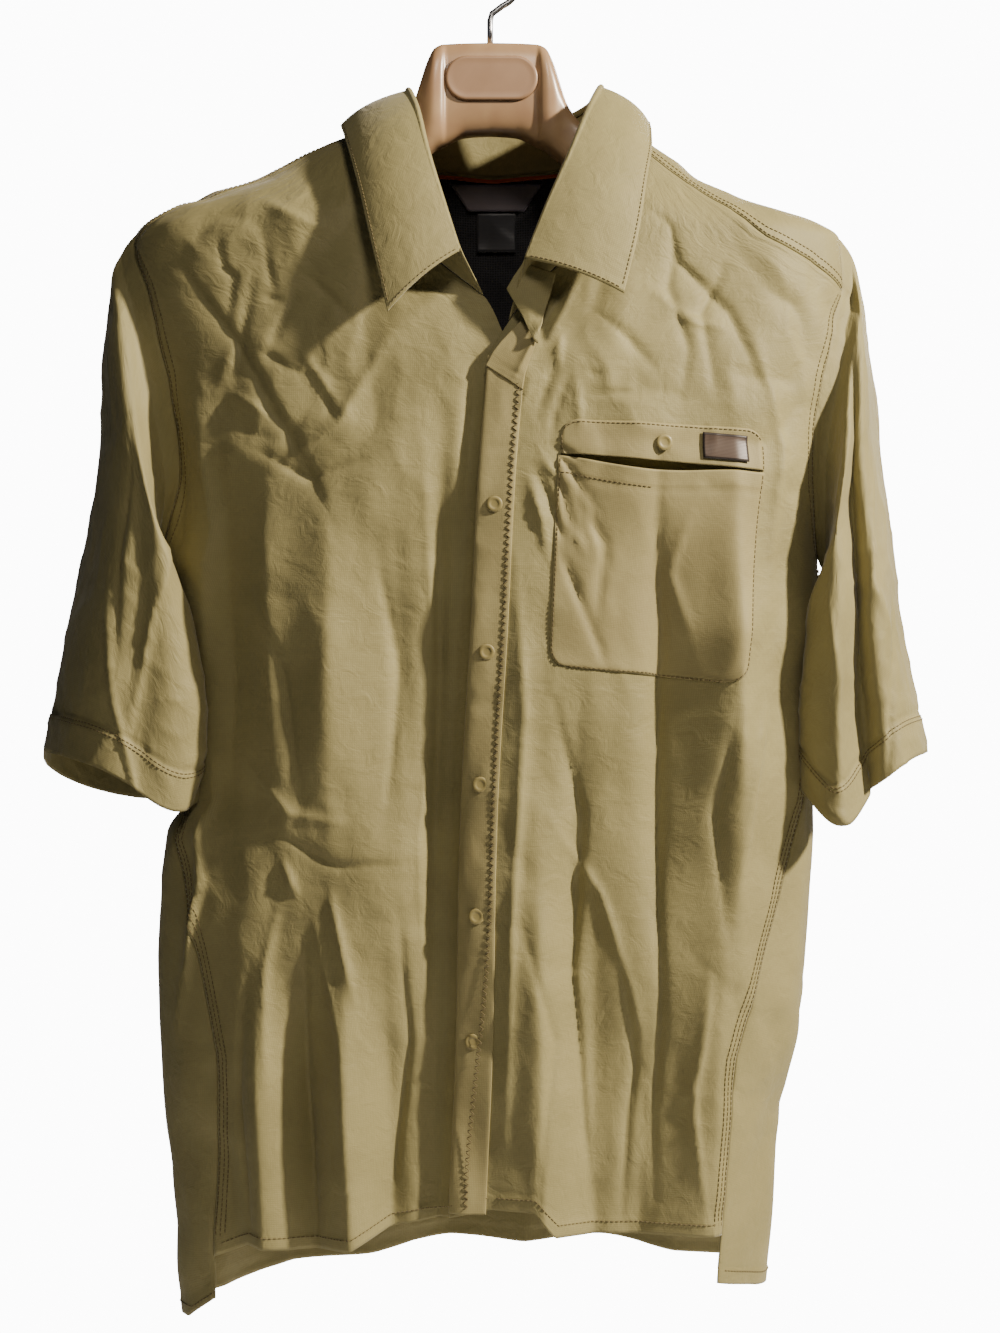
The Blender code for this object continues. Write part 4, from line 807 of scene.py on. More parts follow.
@dataclass(frozen=True)
class SatinLabel:
    """Damask-woven satin label: fine ribs across it and a soft shine."""

    name: str
    ground: str
    rib: str
    border: str
    rib_mm: float = 0.9
    border_mm: float = 1.3

    def make(self) -> bpy.types.Material:
        """Builds the material; the piece's cloth_mm z holds the distance from its edge."""
        made, tree, shader = blank_material(self.name)
        set_shader(shader, Roughness=0.42, Sheen_Weight=0.1, Specular_IOR_Level=0.45, IOR=1.5)
        place = add(tree, "ShaderNodeAttribute", {"attribute_name": "cloth_mm"}).outputs["Vector"]
        ribs = add(tree, "ShaderNodeTexWave",
                   {"bands_direction": "Y", "Scale": WAVE_PERIOD / self.rib_mm, "Distortion": 0.4},
                   {"Vector": place})
        ground = add(tree, "ShaderNodeMix",
                     {"data_type": "RGBA", 6: linear(self.ground), 7: linear(self.rib)},
                     {0: ribs.outputs["Fac"]})
        parts = add(tree, "ShaderNodeSeparateXYZ", links={0: place})
        rim = add(tree, "ShaderNodeMapRange",
                  {"From Min": self.border_mm, "From Max": self.border_mm + 0.3}, {"Value": parts.outputs["Z"]})
        colour = add(tree, "ShaderNodeMix", {"data_type": "RGBA", 6: linear(self.border)},
                     {0: rim.outputs["Result"], 7: ground.outputs[2]})
        bump = add(tree, "ShaderNodeBump", {"Strength": 0.5, "Distance": 0.06 * MM},
                   {"Height": ribs.outputs["Fac"]})
        tree.links.new(colour.outputs[2], shader.inputs["Base Color"])
        tree.links.new(bump.outputs["Normal"], shader.inputs["Normal"])
        return made


@dataclass(frozen=True)
class MouldedPlastic:
    """Injection-moulded plastic: smooth, softly glossy, with faint flow marks and fine texture."""

    name: str
    light: str
    dark: str
    roughness: float
    grain_mm: float = 0.8
    flow_mm: float = 45.0
    depth_mm: float = 0.03

    def make(self) -> bpy.types.Material:
        """Builds the material."""
        made, tree, shader = blank_material(self.name)
        set_shader(shader, IOR=1.49, Coat_Weight=0.12, Coat_Roughness=0.2)
        place = add(tree, "ShaderNodeTexCoord").outputs["Object"]
        flow = add(tree, "ShaderNodeTexNoise",
                   {"Scale": 1 / (self.flow_mm * MM), "Detail": 4.0, "Distortion": 1.2}, {"Vector": place})
        grain = add(tree, "ShaderNodeTexNoise", {"Scale": 1 / (self.grain_mm * MM), "Detail": 2.0},
                    {"Vector": place})
        tone = add(tree, "ShaderNodeMapRange", {"From Min": 0.3, "From Max": 0.7},
                   {"Value": flow.outputs["Fac"]})
        colour = add(tree, "ShaderNodeMix",
                     {"data_type": "RGBA", 6: linear(self.dark), 7: linear(self.light)},
                     {0: tone.outputs["Result"]})
        gloss = add(tree, "ShaderNodeMapRange",
                    {"To Min": self.roughness - 0.06, "To Max": self.roughness + 0.08},
                    {"Value": grain.outputs["Fac"]})
        bump = add(tree, "ShaderNodeBump", {"Strength": 0.4, "Distance": self.depth_mm * MM},
                   {"Height": grain.outputs["Fac"]})
        tree.links.new(colour.outputs[2], shader.inputs["Base Color"])
        tree.links.new(gloss.outputs["Result"], shader.inputs["Roughness"])
        tree.links.new(bump.outputs["Normal"], shader.inputs["Normal"])
        return made


@dataclass(frozen=True)
class DrawnSteel:
    """Chromed drawn steel wire: bright, with a few dull spots."""

    name: str = "steel_wire_chromed"

    def make(self) -> bpy.types.Material:
        """Builds the material."""
        made, tree, shader = blank_material(self.name)
        set_shader(shader, Metallic=1.0)
        place = add(tree, "ShaderNodeTexCoord").outputs["Object"]
        spots = add(tree, "ShaderNodeTexNoise", {"Scale": 900.0, "Detail": 3.0}, {"Vector": place})
        gloss = add(tree, "ShaderNodeMapRange", {"To Min": 0.16, "To Max": 0.34},
                    {"Value": spots.outputs["Fac"]})
        colour = add(tree, "ShaderNodeMix",
                     {"data_type": "RGBA", 6: linear("#b4b5b8"), 7: linear("#cdced0")},
                     {0: spots.outputs["Fac"]})
        tree.links.new(colour.outputs[2], shader.inputs["Base Color"])
        tree.links.new(gloss.outputs["Result"], shader.inputs["Roughness"])
        return made


@dataclass(frozen=True)
class SpunThread:
    """Spun polyester sewing thread: matt, darker than the cloth, with its ply showing; the darkness is partly the
    thread's own colour and partly painted shade of the sunken, puckered stitch rows.
    """

    name: str = "thread_polyester_spun"
    # partly painted shade: these colours sit below the cloth's to stand for the shade in puckered stitch rows
    light: str = "#75673c"
    dark: str = "#4f4528"

    def make(self) -> bpy.types.Material:
        """Builds the material."""
        made, tree, shader = blank_material(self.name)
        set_shader(shader, Roughness=0.7, Sheen_Weight=0.2, Specular_IOR_Level=0.3, IOR=1.5)
        place = add(tree, "ShaderNodeTexCoord").outputs["Object"]
        ply = add(tree, "ShaderNodeTexNoise", {"Scale": 1800.0, "Detail": 2.0}, {"Vector": place})
        colour = add(tree, "ShaderNodeMix",
                     {"data_type": "RGBA", 6: linear(self.dark), 7: linear(self.light)},
                     {0: ply.outputs["Fac"]})
        tree.links.new(colour.outputs[2], shader.inputs["Base Color"])
        return made


class Finish(Enum):
    """The finishes of this shirt and its hanger."""

    CLOTH = WovenCloth("shirting_polyester_woven", "#968d60", "#7e764d")
    TRIM = WovenCloth("trim_polyester_woven", "#9b9164", "#857a51", wrinkle_depth_mm=0.7)
    MESH = KnittedMesh()
    PIPING = WovenCloth("piping_polyester_woven", "#b5502c", "#93401f", sheen=0.1)
    NECK_LABEL = SatinLabel("label_satin_neck", "#5b5459", "#6a6268", "#57505a")
    SIZE_LABEL = SatinLabel("label_satin_size", "#2c2c31", "#36363b", "#2c2c31")
    POCKET_LABEL = SatinLabel("label_satin_pocket", "#4a3c33", "#57483c", "#2f2620")
    SNAP = MouldedPlastic("snap_brass_enamelled", "#8f8352", "#7e7346", 0.5)
    HANGER = MouldedPlastic("hanger_polystyrene_moulded", "#ab8e69", "#99795a", 0.32)
    BADGE = MouldedPlastic("badge_styrene_moulded", "#9f7f61", "#947558", 0.42)
    WIRE = DrawnSteel()
    THREAD = SpunThread()

    @property
    def material(self) -> bpy.types.Material:
        """The finish's material, made once."""
        return bpy.data.materials.get(self.value.name) or self.value.make()


def mesh_object(name: str, points: Array, faces: Array, finish: Finish,
                cloth_mm: Array | None = None) -> bpy.types.Object:
    """A smooth object from points in millimetres and four-cornered faces.

    Args:
        name: the piece's name.
        points: its points.
        faces: point numbers, four to a face.
        finish: its finish.
        cloth_mm: a place in the cloth for each point, for the weave.

    Returns:
        The new object.
    """
    mesh = bpy.data.meshes.new(name)
    mesh.vertices.add(len(points))
    mesh.vertices.foreach_set("co", (points * MM).astype(np.float32).ravel())
    mesh.loops.add(faces.size)
    mesh.loops.foreach_set("vertex_index", faces.astype(np.int32).ravel())
    mesh.polygons.add(len(faces))
    mesh.polygons.foreach_set("loop_start", np.arange(0, faces.size, faces.shape[1], dtype=np.int32))
    mesh.update(calc_edges=True)
    mesh.validate()
    mesh.shade_smooth()
    if cloth_mm is not None:
        layer = mesh.attributes.new("cloth_mm", "FLOAT_VECTOR", "POINT")
        layer.data.foreach_set("vector", cloth_mm.astype(np.float32).ravel())
    mesh.materials.append(finish.material)
    made = bpy.data.objects.new(name, mesh)
    bpy.context.scene.collection.objects.link(made)
    return made


def quads(rows: int, cols: int, loop: bool = False) -> Array:
    """Faces of a grid, with their outer side up."""
    i, j = np.meshgrid(np.arange(rows - 1), np.arange(cols if loop else cols - 1), indexing="ij")
    i, j = i.ravel(), j.ravel()
    k = (j + 1) % cols
    return np.stack([i * cols + j, (i + 1) * cols + j, (i + 1) * cols + k, i * cols + k], axis=-1)


def shell(name: str, outer: Array, thick: float, finish: Finish, loop: bool = False,
          cloth_mm: Array | None = None) -> bpy.types.Object:
    """A closed thin shell of cloth under a grid of its outer side.

    Args:
        name: the piece's name.
        outer: the outer side, rows down and columns round.
        thick: the cloth's thickness.
        finish: its finish.
        loop: whether the last column joins the first.
        cloth_mm: the grid's places in the cloth.

    Returns:
        The new object.
    """
    rows, cols = outer.shape[:2]
    inner = outer - grid_normals(outer, loop) * thick
    if cloth_mm is None:
        cloth_mm = cloth_places(outer)
    points = np.concatenate([outer.reshape(-1, 3), inner.reshape(-1, 3)])
    under = rows * cols
    top = quads(rows, cols, loop)
    faces = [top, top[:, ::-1] + under]
    if loop:
        first = np.arange(cols)
        rims = [first, (rows - 1) * cols + first[::-1]]
        for rim in rims:
            after = np.roll(rim, -1)
            faces.append(np.stack([rim, after, after + under, rim + under], axis=-1))
    else:
        rim = np.concatenate([
            np.arange(cols), np.arange(1, rows) * cols + cols - 1,
            (rows - 1) * cols + np.arange(cols - 2, -1, -1), np.arange(rows - 2, 0, -1) * cols,
        ])
        after = np.roll(rim, -1)
        faces.append(np.stack([rim, after, after + under, rim + under], axis=-1))
    places = np.tile(cloth_mm.reshape(-1, 3), (2, 1))
    return mesh_object(name, points, np.concatenate(faces), finish, places)


def cloth_places(grid: Array) -> Array:
    """Places in the cloth of a grid's points: distances along its middle row and column."""
    middle_row = np.linalg.norm(np.diff(grid, axis=1), axis=-1).mean(axis=0)
    middle_col = np.linalg.norm(np.diff(grid, axis=0), axis=-1).mean(axis=1)
    u = np.concatenate([[0], np.cumsum(middle_row)])
    v = np.concatenate([[0], np.cumsum(middle_col)])
    places = np.zeros(grid.shape)
    places[..., 0], places[..., 1] = u[None, :], v[:, None]
    return places


def dress(piece: bpy.types.Object, slot: str, *nodes: str) -> bpy.types.Object:
    """Makes a piece ride on the part's body and stand for its nodes."""
    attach(piece, BODY_NAME)
    if nodes:
        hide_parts(*nodes)
    LOG.info("%s: %d faces", piece.name, len(piece.data.polygons))
    return piece


@dataclass
class Sewing:
    """Rows of stitches: each is a short grain of thread that lies on the cloth."""

    name: str
    pitch: float = 3.1
    length: float = 2.5
    radius: float = 0.34
    sides: int = 5
    centres: list[Array] = field(default_factory=list)
    ways: list[Array] = field(default_factory=list)
    ups: list[Array] = field(default_factory=list)

    def row(self, path: Array, normals: Array, length: float | None = None,
            pitch: float | None = None) -> None:
        """Adds a row of stitches along a path.

        Args:
            path: points on the cloth's outer side.
            normals: the cloth's normals there.
            length: a stitch's length, if not the usual one.
            pitch: the distance from stitch to stitch, if not the usual one.
        """
        run = np.concatenate([[0], np.cumsum(np.linalg.norm(np.diff(path, axis=0), axis=1))])
        pitch = pitch or self.pitch
        at = np.arange(pitch / 2, run[-1], pitch)
        half = (length or self.length) / 2
        begin, end, middle = (
            np.stack([np.interp(at + shift, run, path[:, axis]) for axis in range(3)], axis=-1)
            for shift in (-half, half, 0.0)
        )
        up = unit(np.stack([np.interp(at, run, normals[:, axis]) for axis in range(3)], axis=-1))
        self.centres.append(middle)
        self.ways.append((end - begin) / 2)
        self.ups.append(up)

    def zigzag(self, path: Array, normals: Array, width: float, pitch: float) -> None:
        """Adds a zigzag row along a path."""
        run = np.concatenate([[0], np.cumsum(np.linalg.norm(np.diff(path, axis=0), axis=1))])
        at = np.arange(0, run[-1], pitch / 2)
        centre = np.stack([np.interp(at, run, path[:, axis]) for axis in range(3)], axis=-1)
        up = unit(np.stack([np.interp(at, run, normals[:, axis]) for axis in range(3)], axis=-1))
        way = unit(np.gradient(centre, axis=0))
        swing = np.where(np.arange(len(at)) % 2 == 0, -1, 1)[:, None] * width / 2
        corners = centre + unit(np.cross(up, way)) * swing
        self.centres.append((corners[1:] + corners[:-1]) / 2)
        self.ways.append((corners[1:] - corners[:-1]) / 2 * 0.86)
        self.ups.append(unit(up[1:] + up[:-1]))

    def build(self) -> bpy.types.Object:
        """Builds all rows as one piece."""
        centre, way, up = (np.concatenate(part) for part in (self.centres, self.ways, self.ups))
        side = unit(np.cross(way, up))
        angle = 2 * math.pi * np.arange(self.sides) / self.sides
        rings = []
        for along, thick in ((-1.0, 0.35), (-0.72, 1.0), (0.72, 1.0), (1.0, 0.35)):
            spoke = np.cos(angle)[None, :, None] * side[:, None] + np.sin(angle)[None, :, None] * up[:, None]
            sink = self.radius * (0.55 if thick == 1.0 else -0.4)
            rings.append((centre + way * along + up * sink)[:, None] + spoke * self.radius * thick)
        points = np.stack(rings, axis=1)
        count, levels, sides = points.shape[:3]
        one = quads(levels, sides, loop=True)
        faces = (np.arange(count)[:, None, None] * levels * sides + one[None]).reshape(-1, 4)
        return mesh_object(self.name, points.reshape(-1, 3), faces, Finish.THREAD)


def clustered(count: int, edge_share: float, edge_count: int, both: bool = True) -> Array:
    """Shares from 0 to 1 that lie closer together at the start, and at the end too if asked.

    Args:
        count: cells between the close stretches.
        edge_share: the share that each close stretch takes up.
        edge_count: cells in each close stretch.
        both: whether the end has one as well.

    Returns:
        Rising shares from 0 to 1.
    """
    start = np.linspace(0, edge_share, edge_count + 1)[:-1]
    last = 1 - edge_share if both else 1.0
    middle = np.linspace(edge_share, last, count + 1)
    end = np.linspace(last, 1, edge_count + 1)[1:] if both else np.zeros(0)
    return np.concatenate([start, middle, end])


def rows_to_hem(top: float, hem: Array, cell: float, band: float) -> Array:
    """Drops of a panel's rows, level above and spread towards the hem below.

    Args:
        top: the first row's drop.
        hem: the hem's drop for each column.
        cell: the rows' distance.
        band: how close rows begin above the hem.

    Returns:
        Drops, rows by columns.
    """
    level = float(hem.min()) - 2 * band
    above = np.arange(top, level, cell)
    share = clustered(max(int((hem.mean() - level) / cell) - 4, 4), 0.45, 8, both=False)
    share = 1 - share[::-1]
    below = above[-1] + np.outer(share, hem - above[-1])
    return np.concatenate([np.repeat(above[:-1, None], len(hem), axis=1), below])


def seam_relief(distance: Array, band: float = 8.0, height: float = 0.4, groove: float = 0.7) -> Array:
    """The relief of a topstitched seam: a groove at the edge and a raised band beside it."""
    raised = height * (1 - ease((distance - band + 1.5) / 3.0))
    return raised - groove * np.exp(-(distance / 1.6) ** 2)


def offset_path(grid: Array, distance: float, from_end: bool = False) -> Array:
    """Points at a distance down each column of a grid from its first (or last) row."""
    grid = grid[::-1] if from_end else grid
    run = np.cumsum(np.linalg.norm(np.diff(grid, axis=0), axis=-1), axis=0)
    run = np.concatenate([np.zeros((1, grid.shape[1])), run])
    return np.array([
        [np.interp(distance, run[:, col], grid[:, col, axis]) for axis in range(3)]
        for col in range(grid.shape[1])
    ])


def turned(grid: Array) -> Array:
    """A grid with its rows and columns exchanged."""
    return grid.transpose(1, 0, 2)


def placket_x(drop: Array | float) -> Array:
    """x of the placket's free edge."""
    return smooth_lookup(PLACKET_EDGE, "x", np.maximum(drop, PLACKET_EDGE[0].drop))


def outer_x(side: int, drop: Array | float) -> Array:
    """x of a front's outer edge: yoke seam, armhole and side seam."""
    return lookup(OUTER_MINUS if side < 0 else OUTER_PLUS, "x", drop)


def pocket_slit(x: Array) -> Array:
    """Drop of the pocket's slit, which slants down towards the wearer's left."""
    return 336.5 + 9.3 * (x - 42) / 127


@dataclass
class Panels:
    """Fronts, back and yoke: the body's cut pieces, with their seam relief."""

    form: BodyForm
    cloth: float = 0.8
    seam_gap: float = 0.3
    cell: float = 2.15
    hem_band: float = 9.0
    front_cells: int = 84
    back_cells: int = 150
    yoke_rows: int = 56
    yoke_step: float = 3.2
    underlap: float = 15.3
    underlap_ramp: float = 26.0
    underlap_dip: float = 2.4
    trough_off: float = 6.0
    trough_width: float = 5.5
    trough_depth: float = 5.0
    slit_depth: float = 7.0

    def inner_x(self, side: int, drop: Array) -> Array:
        """x of a front's centre edge: neckline, then placket or underlap."""
        if side > 0:
            return np.where(drop < 276, smooth_lookup(NECK_PLUS, "x", drop), placket_x(drop))
        below = placket_x(drop) + self.underlap
        return np.where(drop < 276, smooth_lookup(NECK_MINUS, "x", drop), below)

    def dip(self, x: Array, drop: Array) -> Array:
        """How far the wearer's right front dips to pass under the placket."""
        start = placket_x(drop) - self.underlap_ramp
        under = -self.underlap_dip * ease((x - start) / self.underlap_ramp) * ease((drop - 226) / 32)
        trough = np.exp(-((x - (placket_x(drop) - self.trough_off)) / self.trough_width) ** 2)
        return under - self.trough_depth * trough * ease((drop - 268) / 45)

    def slit(self, x: Array, drop: Array) -> Array:
        """The hollow behind the pocket's slit."""
        across = ease((x - 44) / 10) * (1 - ease((x - 150) / 14))
        return -self.slit_depth * across * np.exp(-((drop - pocket_slit(x) - 5) / 6.0) ** 2)

    def front(self, side: int) -> Array:
        """The outer side of one front, columns with rising round."""
        share = clustered(self.front_cells, 0.045, 9)
        across = share if side < 0 else share[::-1]
        end = 790.0
        x_end = outer_x(side, end) + (self.inner_x(side, np.array(end)) - outer_x(side, end)) * across
        drops = rows_to_hem(TOP_LEVEL[side], lookup(FRONT_HEM, "drop", x_end), self.cell, self.hem_band)
        level = np.minimum(drops, 845.0)
        outer = outer_x(side, level) - side * self.seam_gap / 2
        x = outer + (self.inner_x(side, level) - outer) * across[None, :]
        around = self.form.round_at(x, drops)
        edge = np.abs(around - self.form.round_at(outer, drops))
        out = seam_relief(edge)
        to_hem = drops[-1][None, :] - drops
        out = out + 0.5 * (1 - ease((to_hem - self.hem_band + 1) / 2.0))
        out = out + (self.dip(x, drops) if side < 0 else self.slit(x, drops))
        return self.form.point(around, drops, out)

    def back_edge(self, side: int, drop: Array) -> Array:
        """Distance round of the back's edge: the back armhole, then the side seam."""
        blend = ease((drop - 344) / (ARMPIT_LEVEL - 344))
        behind = side * (self.form.side + lookup(BACK_ARMHOLE, "reach", drop))
        seam = self.form.round_at(outer_x(side, np.maximum(drop, ARMPIT_LEVEL)), np.maximum(drop, ARMPIT_LEVEL))
        return np.where(drop >= ARMPIT_LEVEL, seam, behind * (1 - blend) + seam * blend)

    def back(self) -> Array:
        """The back's outer side, columns from the +X side round to the -X side."""
        share = clustered(self.back_cells, 0.02, 9)
        end = 790.0
        ends = [self.back_edge(1, np.array(end)), 2 * self.form.back + self.back_edge(-1, np.array(end))]
        hem = lookup(BACK_HEM, "drop", self.form.back - (ends[0] + (ends[1] - ends[0]) * share))
        drops = rows_to_hem(YOKE_LEVEL + self.seam_gap, hem, self.cell + 0.75, self.hem_band)
        level = np.minimum(drops, 845.0)
        plus = self.back_edge(1, level) + self.seam_gap / 2
        minus = 2 * self.form.back + self.back_edge(-1, level) - self.seam_gap / 2
        around = plus + (minus - plus) * share[None, :]
        edge = np.minimum(around - plus, minus - around)
        out = -0.7 * np.exp(-(edge / 1.6) ** 2) - 0.6 * np.exp(-((drops - YOKE_LEVEL) / 1.8) ** 2)
        to_hem = drops[-1][None, :] - drops
        out = out + 0.5 * (1 - ease((to_hem - self.hem_band + 1) / 2.0))
        return self.form.point(self.form.wrapped(around), drops, out)

    def yoke_path(self, x_start: float, drop_start: float, x_end: float, over: bool) -> tuple[Array, Array]:
        """One column of the yoke: from the front seam over the shoulder, or from the neck, to the back.

        Args:
            x_start: x at its first point.
            drop_start: drop of its first point.
            x_end: x at the back seam.
            over: whether it starts on the front and passes over the shoulder.

        Returns:
            Distances round and drops of the column's points, evenly spaced.
        """
        tall = np.linspace(self.form.sections[0].drop, SHOULDER_DROP, 400)
        wide = smooth_lookup(self.form.sections, "plus" if x_start > 0 else "minus", tall)
        ridge = float(np.interp(abs(x_start + x_end) / 2, wide, tall))
        fine = np.linspace(0, 1, 80) ** 2
        rounds, drops = [], []
        x_from, start, shares = x_start, drop_start, np.linspace(0, 1, 80)
        if over:
            x_from, start, shares = (x_start + x_end) / 2, ridge, fine
            down = ridge + (drop_start - ridge) * fine[::-1]
            rounds.append(self.form.round_at(np.linspace(x_start, x_from, 80), down, "front"))
            drops.append(down)
        down = start + (YOKE_LEVEL - start) * shares
        rounds.append(self.form.round_at(np.linspace(x_from, x_end, 80), down, "back"))
        drops.append(down)
        around, drop = np.concatenate(rounds), np.concatenate(drops)
        points = self.form.plain(around, drop)
        run = np.concatenate([[0], np.cumsum(np.linalg.norm(np.diff(points, axis=0), axis=1))])
        even = np.linspace(0, 1, self.yoke_rows + 1) * run[-1]
        return np.interp(even, run, around), np.interp(even, run, drop)

    def yoke(self) -> tuple[Array, Array]:
        """The yoke's outer side, from the +X shoulder tip over the back neck to the other tip.

        Returns:
            The grid, and the x at which each column starts.
        """
        columns, starts = [], []
        backs = sorted((row.x, row.drop) for row in NECKLINE if row.face == "back")
        for side in (1, -1):
            edge = OUTER_PLUS if side > 0 else OUTER_MINUS
            wing = [row for row in edge if row.drop <= CORNER_LEVEL[side]]
            reach = np.arange(abs(wing[0].x), abs(wing[-1].x), self.yoke_step)
            reach = np.append(reach, abs(wing[-1].x) - 0.01)
            columns.append([])
            for far in reach:
                level = float(np.interp(far, [abs(row.x) for row in wing], [row.drop for row in wing]))
                end = side * min(far, 221.5)
                columns[-1].append(self.yoke_path(side * far, level - self.seam_gap, end, True))
                starts.append(side * far)
        neck = []
        inner = np.arange(-91.0, 96.5, self.yoke_step)
        for x in inner:
            drop = float(np.interp(x, [b[0] for b in backs], [b[1] for b in backs]))
            neck.append(self.yoke_path(float(x), max(drop, 124.0), float(x), False))
        ordered = columns[0][::-1] + neck[::-1] + columns[1]
        first, second = starts[:len(columns[0])], starts[len(columns[0]):]
        around = np.array([c[0] for c in ordered]).T
        drops = np.array([c[1] for c in ordered]).T
        out = -0.6 * np.exp(-((drops - YOKE_LEVEL) / 1.8) ** 2)
        grid = self.form.point(around, drops, out)
        return grid, np.array(first[::-1] + list(inner[::-1]) + second)

    def build(self) -> dict[str, Array]:
        """Builds the four panels.

        Returns:
            Their outer sides by name.
        """
        yoke, starts = self.yoke()
        grids = {"front_right": self.front(-1), "front_left": self.front(1), "back": self.back(), "yoke": yoke}
        for name, grid in grids.items():
            piece = dress(shell(f"{name}_cloth", grid, self.cloth, Finish.CLOTH), "shirt_cloth", name)
        grids["yoke_starts"] = starts
        return grids


@dataclass
class Sleeves:
    """Both sleeves: rings from the armhole to the turned-up hem."""

    form: BodyForm
    cloth: float = 0.8
    rings: int = 112
    ring_points: int = 156
    power: float = 2.2
    blend_steps: float = 3.5
    turn: float = 0.27
    turn_steps: float = 4.0
    low_spread: float = 34.0
    hem_band: float = 25.0
    front_bulge: float = 9.0
    bulge_degrees: float = 146.0
    bulge_spread: float = 24.0

    def armhole(self, side: int, panels: dict[str, Array]) -> Array:
        """The armhole's points from the shoulder's top down the front and up the back."""
        front = panels["front_right" if side < 0 else "front_left"]
        edge = front[:, 0 if side < 0 else -1]
        edge = edge[(-edge[:, 2] >= CORNER_LEVEL[side]) & (-edge[:, 2] <= ARMPIT_LEVEL)]
        column = panels["back"][:, -1 if side < 0 else 0]
        column = column[-column[:, 2] < ARMPIT_LEVEL - 1][::-1]
        over = panels["yoke"][:, -1 if side < 0 else 0][::-1]
        loop = np.concatenate([edge, column, over[1:-1]])
        return np.roll(loop, -int(np.argmax(loop[:, 2])), axis=0)

    def grid(self, side: int, loop: Array) -> Array:
        """The sleeve's outer side, rings down and points round.

        Args:
            side: -1 for the wearer's right sleeve, 1 for the left.
            loop: the armhole's points.

        Returns:
            The grid, with the columns running so that its normals point out.
        """
        whole = np.concatenate([loop, loop[:1]])
        run = np.concatenate([[0], np.cumsum(np.linalg.norm(np.diff(whole, axis=0), axis=1))])
        under = int(np.argmin(loop[:, 2]))
        turns = np.interp(run, [0, run[under], run[-1]], [0, math.pi, 2 * math.pi])
        angle = np.linspace(0, 2 * math.pi, self.ring_points, endpoint=False)
        loop = np.stack([np.interp(angle, turns, whole[:, axis]) for axis in range(3)], axis=-1)
        top, low = loop[0], loop[int(np.argmin(loop[:, 2]))]
        rows = (Cuff(0, top[0], -top[2], low[0], -low[2], 48, 42, 0, 0),) + SLEEVES[side]
        last = rows[-1].step
        places = []
        for step in np.concatenate([np.linspace(0, last - 0.9, self.rings), np.linspace(last - 0.88, last, 16)]):
            cuff = {name: float(smooth_lookup(rows, name, step)) for name in Cuff._fields[1:]}
            outer = np.array([cuff["outer_x"], 0, -cuff["outer_drop"]])
            inner = np.array([cuff["inner_x"], 0, -cuff["inner_drop"]])
            centre, half = (outer + inner) / 2, (outer - inner) / 2
            sine = signed_power(np.sin(angle), 2 / self.power)
            ring = centre + np.outer(signed_power(np.cos(angle), 2 / self.power), half)
            ring[:, 1] = np.where(sine > 0, -sine * cuff["front"], -sine * cuff["back"])
            place = FRONT_LOW_DEGREES[side]
            low_share = np.exp(-((np.degrees(angle) - place) / self.low_spread) ** 2)
            ring[:, 2] -= low_share * cuff["front_low"] + np.clip(-sine, 0, 1) * cuff["back_low"]
            ring[:, 0] += side * self.turn * ring[:, 1] * min(1.0, step / self.turn_steps)
            bulge = np.exp(-((np.degrees(angle) - self.bulge_degrees) / self.bulge_spread) ** 2)
            ring[:, 0] -= side * self.front_bulge * bulge * float(ease((step - 1.5) / 3))
            ring = ring - unit(ring - centre) * self.dent(side, angle, step / last)[:, None]
            keep = 1 - float(ease(step / self.blend_steps))
            shifted = loop + (centre - (top + low) / 2) * np.array([1, min(1.0, step), 1])
            places.append(ring * (1 - keep) + shifted * keep)
        grid = np.array(places) + np.array([side * 0.45, 0, 0])
        grid = grid if side < 0 else grid[:, ::-1]
        return self.relief(side, grid)

    def dent(self, side: int, angle: Array, share: float) -> Array:
        """The depth of the long folds at one ring."""
        groove = GROOVES[side]
        place = groove.top_degrees + (groove.end_degrees - groove.top_degrees) * share
        away = (np.degrees(angle) - place + 180) % 360 - 180
        return groove.depth * float(ease(share * 1.8)) * np.exp(-(away / groove.width_degrees) ** 2)

    def relief(self, side: int, grid: Array) -> Array:
        """Adds soft unevenness, pressed creases, the crown seam and the hem's band."""
        normals = grid_normals(grid, loop=True)
        run = np.cumsum(np.linalg.norm(np.diff(grid, axis=0), axis=-1), axis=0)
        run = np.concatenate([np.zeros((1, grid.shape[1])), run])
        to_hem = run[-1][None, :] - run
        noise = self.form.noise
        lift = 2.2 * noise.at(grid, 58.0) + 0.9 * noise.ridges(grid + 12 * noise.at(grid, 50.0)[..., None], 34.0)
        ring_run = np.linalg.norm(np.diff(grid, axis=1, append=grid[:, :1]), axis=-1).mean(axis=0)
        around = np.concatenate([[0], np.cumsum(ring_run)[:-1]])
        around = around if side < 0 else around[-1] - around
        around = np.broadcast_to(around, lift.shape)
        for crease in SLEEVE_CREASES[side]:
            lift = lift + self.form.one_crease(crease, np.array(crease.points, float), around, run)
        lift = lift * ease(run / 30)
        lift += 0.6 * (1 - ease((to_hem - self.hem_band + 1.0) / 2.0))
        lift -= 0.9 * np.exp(-((to_hem - self.hem_band - 1.5) / 2.0) ** 2)
        lift -= 0.8 * np.exp(-(run / 2.0) ** 2)
        return grid + normals * lift[..., None]

    def build(self, panels: dict[str, Array]) -> dict[str, Array]:
        """Builds both sleeves.

        Args:
            panels: the body's panels, whose edges the sleeves are set to.

        Returns:
            The sleeves' outer sides by name.
        """
        grids = {}
        for side, name in ((-1, "sleeve_right"), (1, "sleeve_left")):
            grid = self.grid(side, self.armhole(side, panels))
            piece = shell(f"{name}_cloth", grid, self.cloth, Finish.CLOTH, loop=True)
            dress(piece, "shirt_cloth", name)
            grids[name] = grid
        return grids


